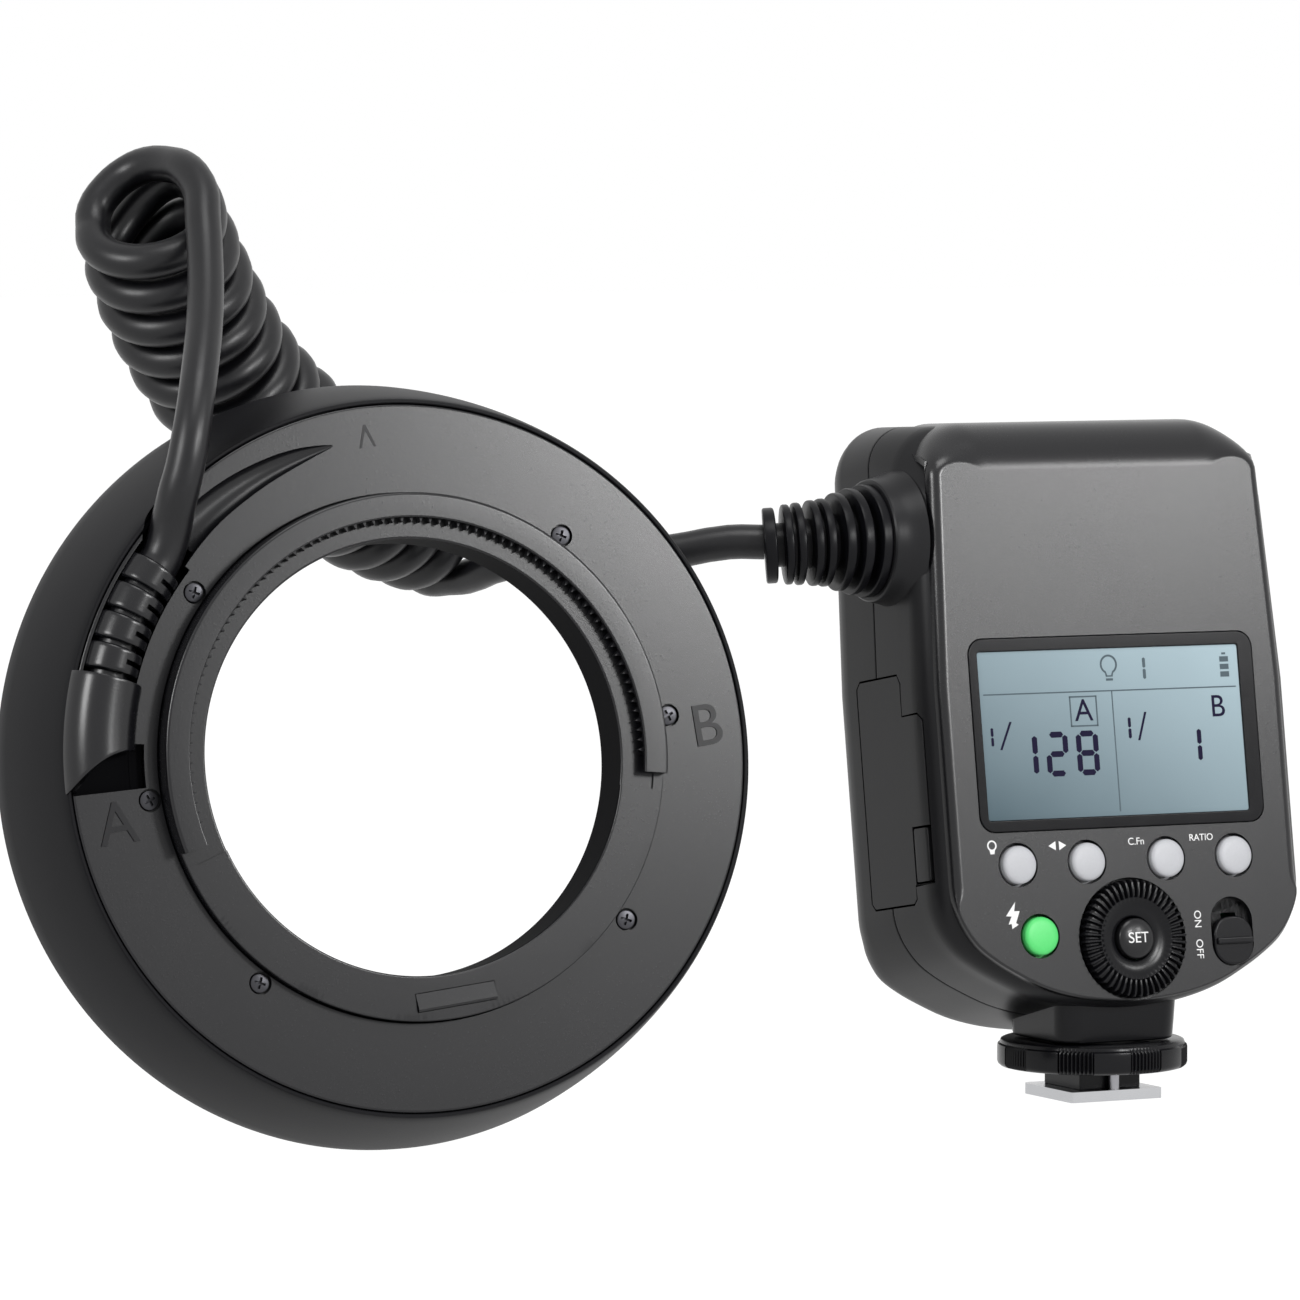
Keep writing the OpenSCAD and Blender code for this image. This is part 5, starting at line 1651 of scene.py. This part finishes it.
    def build_buttons(self) -> None:
        """One domed button, copied to its five places."""
        r = self.button
        first = Bench.lathe("button", [
            (0, 12.4), (r + 0.8, 12.4), (r + 0.8, 13.0), (r, 13.0), (r, 16.5), (r - 0.08, 16.8),
            (r - 0.28, 17.02), (r - 0.6, 17.14), (r * 0.6, 17.24), (0, 17.3)], steps=64)
        for name, x, y in self.buttons:
            green = name == "test_button"
            hand_over(Bench.copy(first, name + "_cap"), PANEL @ moved(x, y, 0),
                      Paints.green if green else Paints.light_grey, Body(name), [name])
        bpy.data.objects.remove(first, do_unlink=True)

    def build_dial(self) -> None:
        """Ribbed dial as a loft whose outer ring waves, and the domed set button."""
        r = self.dial
        hole = self.set_radius + 0.35
        # Radius, height and share of the wave
        profile = [(hole, 14.0, 0), (hole, 16.7, 0), (hole + 0.3, 16.9, 0), (r * 0.5, 17.0, 0),
                   (r * 0.6, 17.2, 0), (r * 0.66, 17.6, 0), (r * 0.69, 17.82, 0.2),
                   (r * 0.72, 17.9, 1), (r * 0.86, 17.9, 1), (r - 0.55, 17.8, 1),
                   (r - 0.15, 17.5, 1), (r, 17.0, 1), (r, 15.2, 0.6), (self.hub, 15.2, 0),
                   (self.hub, 14.0, 0)]
        wave = (0, 0, 0, 0.5, 1, 1, 1, 0.5)
        count = self.ribs * len(wave)
        rows = []
        for radius, height, share in profile:
            notch = 0.5 if radius > r - 0.7 else 0
            rows.append([
                polar(radius - notch * share * wave[k % len(wave)], 360 * k / count,
                      height - 0.75 * share * wave[k % len(wave)]) for k in range(count)])
        rows.append(rows[0])
        here = PANEL @ moved(*self.dial_at, 0)
        dial = Bench.loft("ribbed_dial", rows)
        hand_over(dial, here, Paints.soft_black, Body.CONTROL_DIAL, ["control_dial"],
                  30)
        s, brim, crown = self.set_radius, 17.4, 1.1
        dome = [(s * math.cos(a), brim + crown * math.sin(a))
                for a in (math.radians(10 * k) for k in range(1, 9))]
        knob = Bench.lathe("set_dome", [(0, 14.5), (s, 14.5), (s, brim), *dome, (0, brim + crown)],
                           steps=64)
        hand_over(knob, here, Paints.cap, Body.SET_BUTTON, ["set_button"], 40)
        word = Bench.lettering("set_word", "SET", 2.7, (0.0, 0.0), 0.0)
        for vertex in word.data.vertices:
            away = math.hypot(vertex.co.x, vertex.co.y)
            vertex.co.z += brim + LETTER_SINK + crown * math.sqrt(1 - (away / s) ** 2)
        hand_over(word, here, Paints.print_white, Body.SET_BUTTON)

    def build_switch(self) -> None:
        """Slide knob with its grip bar."""
        x, y = self.switch_at
        wide = self.switch[0] - 0.7
        high = self.switch[1] - self.travel - 0.7
        low = y - self.travel / 2
        body = box_outline(x - wide / 2, x + wide / 2, low - high / 2, low + high / 2, 3.4, 10)
        knob = Bench.prism("slide_knob", body, 15.2, 16.7)
        Bench.soften(knob, 0.35, 3, 50)
        ridge = box_outline(x - wide / 2 + 0.3, x + wide / 2 - 0.3, low - 0.6, low + 0.6, 0.3, 3)
        grip = Bench.prism("grip", ridge, 16.4, 17.4)
        Bench.soften(grip, 0.3, 3, 50)
        foot = box_outline(x - 1.2, x + 1.2, low - 1.5, low + 1.5, 0.2, 2)
        stem = Bench.prism("stem", foot, 12.4, 15.3)
        Bench.join(knob, grip, stem)
        hand_over(knob, PANEL, Paints.soft_black, Body.POWER_SWITCH, ["power_switch"])

    def build_marks(self) -> None:
        """Printed signs beside the buttons and the switch."""
        h = self.face
        lamp = (-27.1, 29.6)
        arrow = -13.9
        outlines = [arc(lamp, 0.95, -55, 235, 18) + [(-27.5, 28.1), (-26.7, 28.1)]]
        outlines += [[(arrow + side * 0.35, 28.3), (arrow + side * 1.8, 29.1),
                      (arrow + side * 0.35, 29.9)] for side in (-1, 1)]
        outlines.append([
            (-23.3, 19.5), (-25.3, 17.1), (-24.2, 17.0), (-24.9, 15.6), (-24.3, 15.7),
            (-24.2, 14.8), (-22.9, 15.5), (-23.4, 15.8), (-22.5, 17.9), (-23.6, 17.9)])
        marks = [Bench.prism("mark", outline, h, h + self.print_high) for outline in outlines]
        hole = Bench.prism("cut", arc(lamp, 0.68, 0, 340, 17), h - 1, h + 1)
        Bench.boolean(marks[0], Operation.DIFFERENCE, hole)
        for word, size, at in (("C.Fn", 1.8, (2.2, 29.2)), ("RATIO", 1.7, (15.6, 29.4))):
            marks.append(Bench.lettering("mark", word, size, at, h))
        for word, at in (("ON", (13.6, 14.9)), ("OFF", (13.6, 9.6))):
            sign = Bench.lettering("mark", word, 2.0, (0, 0), h)
            marks.append(Bench.place(sign, moved(*at, 0) @ turned("Z", -90)))
        whole = Bench.join(*marks, name="panel_signs")
        hand_over(whole, PANEL, Paints.print_white, Body.FLASH)

    def build(self) -> None:
        """Builds and dresses everything on the panel."""
        self.build_display()
        self.build_reading()
        self.build_buttons()
        self.build_dial()
        self.build_switch()
        self.build_marks()


@dataclass
class Controller:
    """Shells, raised panel, cord boss, gland, battery and latch."""

    shell: Shell = field(default_factory=Shell)
    controls: Controls = field(default_factory=Controls)
    boss_at: Place = (-35.3, -3.5, 85.3)
    boss_high: float = 5.2
    # Radius and width of each disc of the strain relief, radius and width of the gap after it
    discs: tuple[tuple[float, float, float, float], ...] = (
        (10.0, 1.6, 7.0, 1.1), (9.4, 1.5, 6.6, 1.1), (8.7, 1.5, 5.0, 1.3), (7.8, 1.3, 6.0, 0.6),
        (7.6, 1.3, 4.4, 1.3), (7.3, 1.3, 5.6, 0.6), (7.1, 1.3, 3.9, 1.3), (6.7, 2.0, 0.0, 0.0))
    # The relief bends by this angle over this length
    bend: float = 27.0
    bend_length: float = 19.1
    # Where the latch's recess and bar start in the left cheek
    latch_from: float = -37.6

    def build_shells(self) -> None:
        """Both cups and the panel, with their openings."""
        shell = self.shell
        rear = shell.cup("rear_cup", shell.near, shell.seam + 0.1, shell.near_radius)
        front = shell.cup("front_cup", shell.far, shell.seam - 0.05, shell.far_radius)
        panel = shell.raised_panel()
        for piece in (rear, front):
            Bench.boolean(piece, Operation.DIFFERENCE, shell.door_cutter("cut", 0.35, -31.0))
        for piece in (rear, panel):
            Bench.boolean(piece, Operation.DIFFERENCE, *self.controls.cutters())
        for piece, finish, nodes in ((rear, Paints.cheek, ["rear_shell"]),
                                     (front, Paints.cheek, ["front_shell"]),
                                     (panel, Paints.panel, [])):
            hand_over(piece, PANEL, finish, Body.FLASH, nodes)

    def build_boss(self) -> None:
        """Flared boss on the left cheek and the ribbed strain relief in it."""
        place = BODY @ moved(*self.boss_at) @ turned("Y", -90)
        base = self.boss_high
        flare = [(5.2, -0.5), (12.6, -0.5), (12.0, 0.9), (11.5, 2.0), (11.2, 3.2), (11.0, 4.4),
                 (10.85, 4.95), (10.55, base), (5.2, base)]
        boss = Bench.lathe("cord_boss", flare, steps=96)
        hand_over(boss, place, Paints.cheek, Body.FLASH)
        profile: list[Point] = [(5.0, 1.2), (5.0, base)]
        height = base
        for radius, wide, core, gap in self.discs:
            top = height + wide
            profile += [(radius - 0.35, height), (radius - 0.1, height + 0.12),
                        (radius, height + 0.35), (radius, top - 0.35), (radius - 0.1, top - 0.12),
                        (radius - 0.35, top)]
            height = top
            if gap:
                profile += [(core, height + 0.06), (core, height + gap - 0.06)]
                height += gap
        profile.append((3.0, height))
        bend = math.radians(self.bend)
        circle = self.bend_length / bend
        rows = []
        for radius, along in profile:
            lean = bend * max(0.0, along - base) / self.bend_length
            reach = base + circle * math.sin(lean) if along > base else along
            aside = circle * (1 - math.cos(lean))
            rows.append([Vector((radius * x, aside + radius * y * math.cos(lean),
                                 reach - radius * y * math.sin(lean)))
                         for x, y in arc((0, 0), 1.0, 0, 355, 71)])
        relief = Bench.loft("controller_strain_relief", rows)
        hand_over(relief, place, Paints.relief, Body.FLASH, ["controller_gland"])

    @staticmethod
    def cheek_bar(name: str, outline: Sequence[Point], start: float, length: float) -> Piece:
        """A bar that runs to the right from the left cheek; its outline is depth and height."""
        bar = Bench.prism(name, outline, 0, length)
        return Bench.close(Bench.place(bar, sideways(start)), False)

    def build_battery(self) -> None:
        """Battery pack with its end cap, and the latch in the cap."""
        cap = self.shell.solid("battery_and_cap")
        Bench.boolean(cap, Operation.INTERSECT, self.shell.door_cutter("cut", 0.0, -33.5))
        recess = [(6.65, 23.85), (13, 23.85), (13, 34.05), (6.65, 34.05)]
        Bench.boolean(cap, Operation.DIFFERENCE,
                      self.cheek_bar("cut", recess, self.latch_from, 3.3))
        Bench.soften(cap, 0.18, 2, 45)
        pack = [(-9.5, 21.5), (5.3, 21.5), (5.3, 59.5), (-9.5, 59.5)]
        block = self.cheek_bar("block", pack, -33.9, 59.6)
        Bench.soften(block, 0.5, 3, 45)
        Bench.join(cap, block)
        hand_over(cap, PANEL, Paints.cheek, Body.BATTERY, ["battery_pack"])
        latch = self.shell.solid("latch_slide")
        slide = box_outline(7.0, 11.6, 24.2, 33.7, 0.4, 4)
        Bench.boolean(latch, Operation.INTERSECT,
                      self.cheek_bar("cut", slide, self.latch_from, 1.8))
        Bench.soften(latch, 0.2, 2, 45)
        hand_over(latch, PANEL, Paints.cheek, Body.BATTERY_LATCH, ["battery_latch"])

    def build(self) -> None:
        """Builds and dresses the controller."""
        self.build_shells()
        self.build_boss()
        self.build_battery()
        self.controls.build()


@dataclass
class ShoeFoot:
    """Neck, column and lock wheel under the controller."""

    neck: Point = (24.0, 22.0)
    wheel: float = 17.0
    wheel_z: float = 5.4
    wheel_h: float = 5.0
    boss: float = 9.9
    recess: float = 12.65
    # The wheel's rim: points round it, groups of grooves, the first group's angle, grooves in a
    # group, angle and depth of one groove
    points: int = 1152
    lobes: int = 8
    first_lobe: float = 5.0
    grooves: int = 9
    groove: float = 2.5
    groove_depth: float = 0.5
    # Height of each row of the neck, and how much larger than its nominal size it is there
    neck_rows: tuple[Point, ...] = (
        (10.7, -0.5), (10.95, -0.2), (11.3, -0.1), (14, 0.05), (17.0, 0.2), (19.0, 0.3))

    def build_neck(self) -> None:
        """Tapered neck on a round boss and the column between the rails."""
        w, d = self.neck
        rows = [[Vector((x, y, height)) for x, y in box_outline(
            -w / 2 - grow, w / 2 + grow, -d / 2 - grow, d / 2 + grow, 4, 8)]
            for height, grow in self.neck_rows]
        neck = Bench.loft("foot_neck_moulding", rows)
        boss = Bench.lathe("boss", [(1.3, 7.0), (self.boss, 7.0), (self.boss, 11.2), (1.3, 11.2)],
                           steps=72)
        column = Bench.prism("column", box_outline(-6.2, 6.2, -6.5, 6.5, 0.4, 3), 1.9, 7.4)
        Bench.soften(column, 0.15, 2, 50)
        Bench.join(neck, boss, column)
        hand_over(neck, FOOT, Paints.soft_black, Body.FLASH, ["foot_neck"])

    def build_wheel(self) -> None:
        """Lock wheel with groups of fine grooves between smooth stretches."""
        r, low, high = self.wheel, self.wheel_z, self.wheel_z + self.wheel_h
        inner = self.boss + 0.05
        # Radius, height and share of the grooves' depth
        profile = [(inner, low + 1.2, 0), (self.recess, low + 1.2, 0), (self.recess, low, 0),
                   (r - 1.2, low, 0), (r - 0.6, low + 0.15, 0.2), (r - 0.15, low + 0.55, 1),
                   (r, low + 1.0, 1), (r, high - 1.4, 1), (r - 0.1, high - 1.0, 1),
                   (r - 0.45, high - 0.75, 0.2), (r - 0.5, high - 0.45, 0),
                   (r - 0.65, high - 0.15, 0), (r - 1.0, high, 0), (inner, high, 0)]
        lobe = 360 / self.lobes
        rows = []
        for radius, height, share in profile:
            row = []
            for k in range(self.points):
                degrees = 360 * k / self.points
                place = (degrees + lobe / 2 - self.first_lobe) % lobe - lobe / 2
                wave = 0.5 - 0.5 * math.cos(2 * math.pi * place / self.groove)
                if abs(place) >= self.grooves * self.groove / 2:
                    wave = 0.0
                row.append(polar(radius - self.groove_depth * share * wave, degrees, height))
            rows.append(row)
        rows.append(rows[0])
        wheel = Bench.loft("knurled_wheel", rows)
        hand_over(wheel, FOOT, Paints.soft_black, Body.LOCK_WHEEL, ["lock_wheel"],
                  30)

    def build(self) -> None:
        """Builds and dresses the foot."""
        self.build_neck()
        self.build_wheel()


@dataclass
class CarriedOver:
    """CAD nodes that keep their shape and get a finish."""

    finishes: dict[str, Finish] = field(default_factory=lambda: {
        "click_ring": Paints.teeth, "adapter_catch": Paints.charcoal, "front_bezel": Paints.black_and_painted_shade,
        "diffuser_a": Paints.diffuser, "diffuser_b": Paints.diffuser, "reflector_a": Paints.mirror,
        "reflector_b": Paints.mirror, "flash_tube_a": Paints.tube, "flash_tube_b": Paints.tube,
        "tube_grommets": Paints.ceramic, "ring_board": Paints.board, "modelling_leds": Paints.lamp,
        # The cord bed's near-black finish is painted shade under the channel and the pocket
        "cord_bed": Paints.black_and_painted_shade, "lcd_panel": Paints.display, "key_pad": Paints.pad,
        "dial_encoder": Paints.black_and_painted_shade, "main_board": Paints.board, "main_capacitor": Paints.capacitor,
        "battery_tray": Paints.soft_black, "battery_contacts": Paints.brass,
        "shell_screws": Paints.steel, "lock_washer": Paints.steel, "lock_pin": Paints.steel,
        "shoe_plate": Paints.chrome,
        "contact_pin": Paints.brass, "pin_spring": Paints.steel, "foot_screws": Paints.steel})

    def build(self) -> None:
        """Gives every node that stays its finish."""
        for name, finish in self.finishes.items():
            node = frame["nodes"][name]
            material = Paints.of(finish)
            if not node.material_slots:
                node.data.materials.append(material)
            for holder in node.material_slots:
                holder.material = material
            log.info("%s keeps its shape, finish %s", name, finish.name)


def main() -> None:
    """Builds the studio and every sub-assembly in order."""
    logging.basicConfig(level=logging.INFO, format="%(name)s: %(message)s")
    Bench.clear()
    for stray in [o for o in bpy.context.scene.objects if o.name in ("Cube", "Light", "Camera")]:
        bpy.data.objects.remove(stray, do_unlink=True)
    Studio().build()
    RingHead().build()
    Controller().build()
    ShoeFoot().build()
    CurlyCord().build()
    CarriedOver().build()
    Bench.clear()


if __name__ == "__main__":
    main()
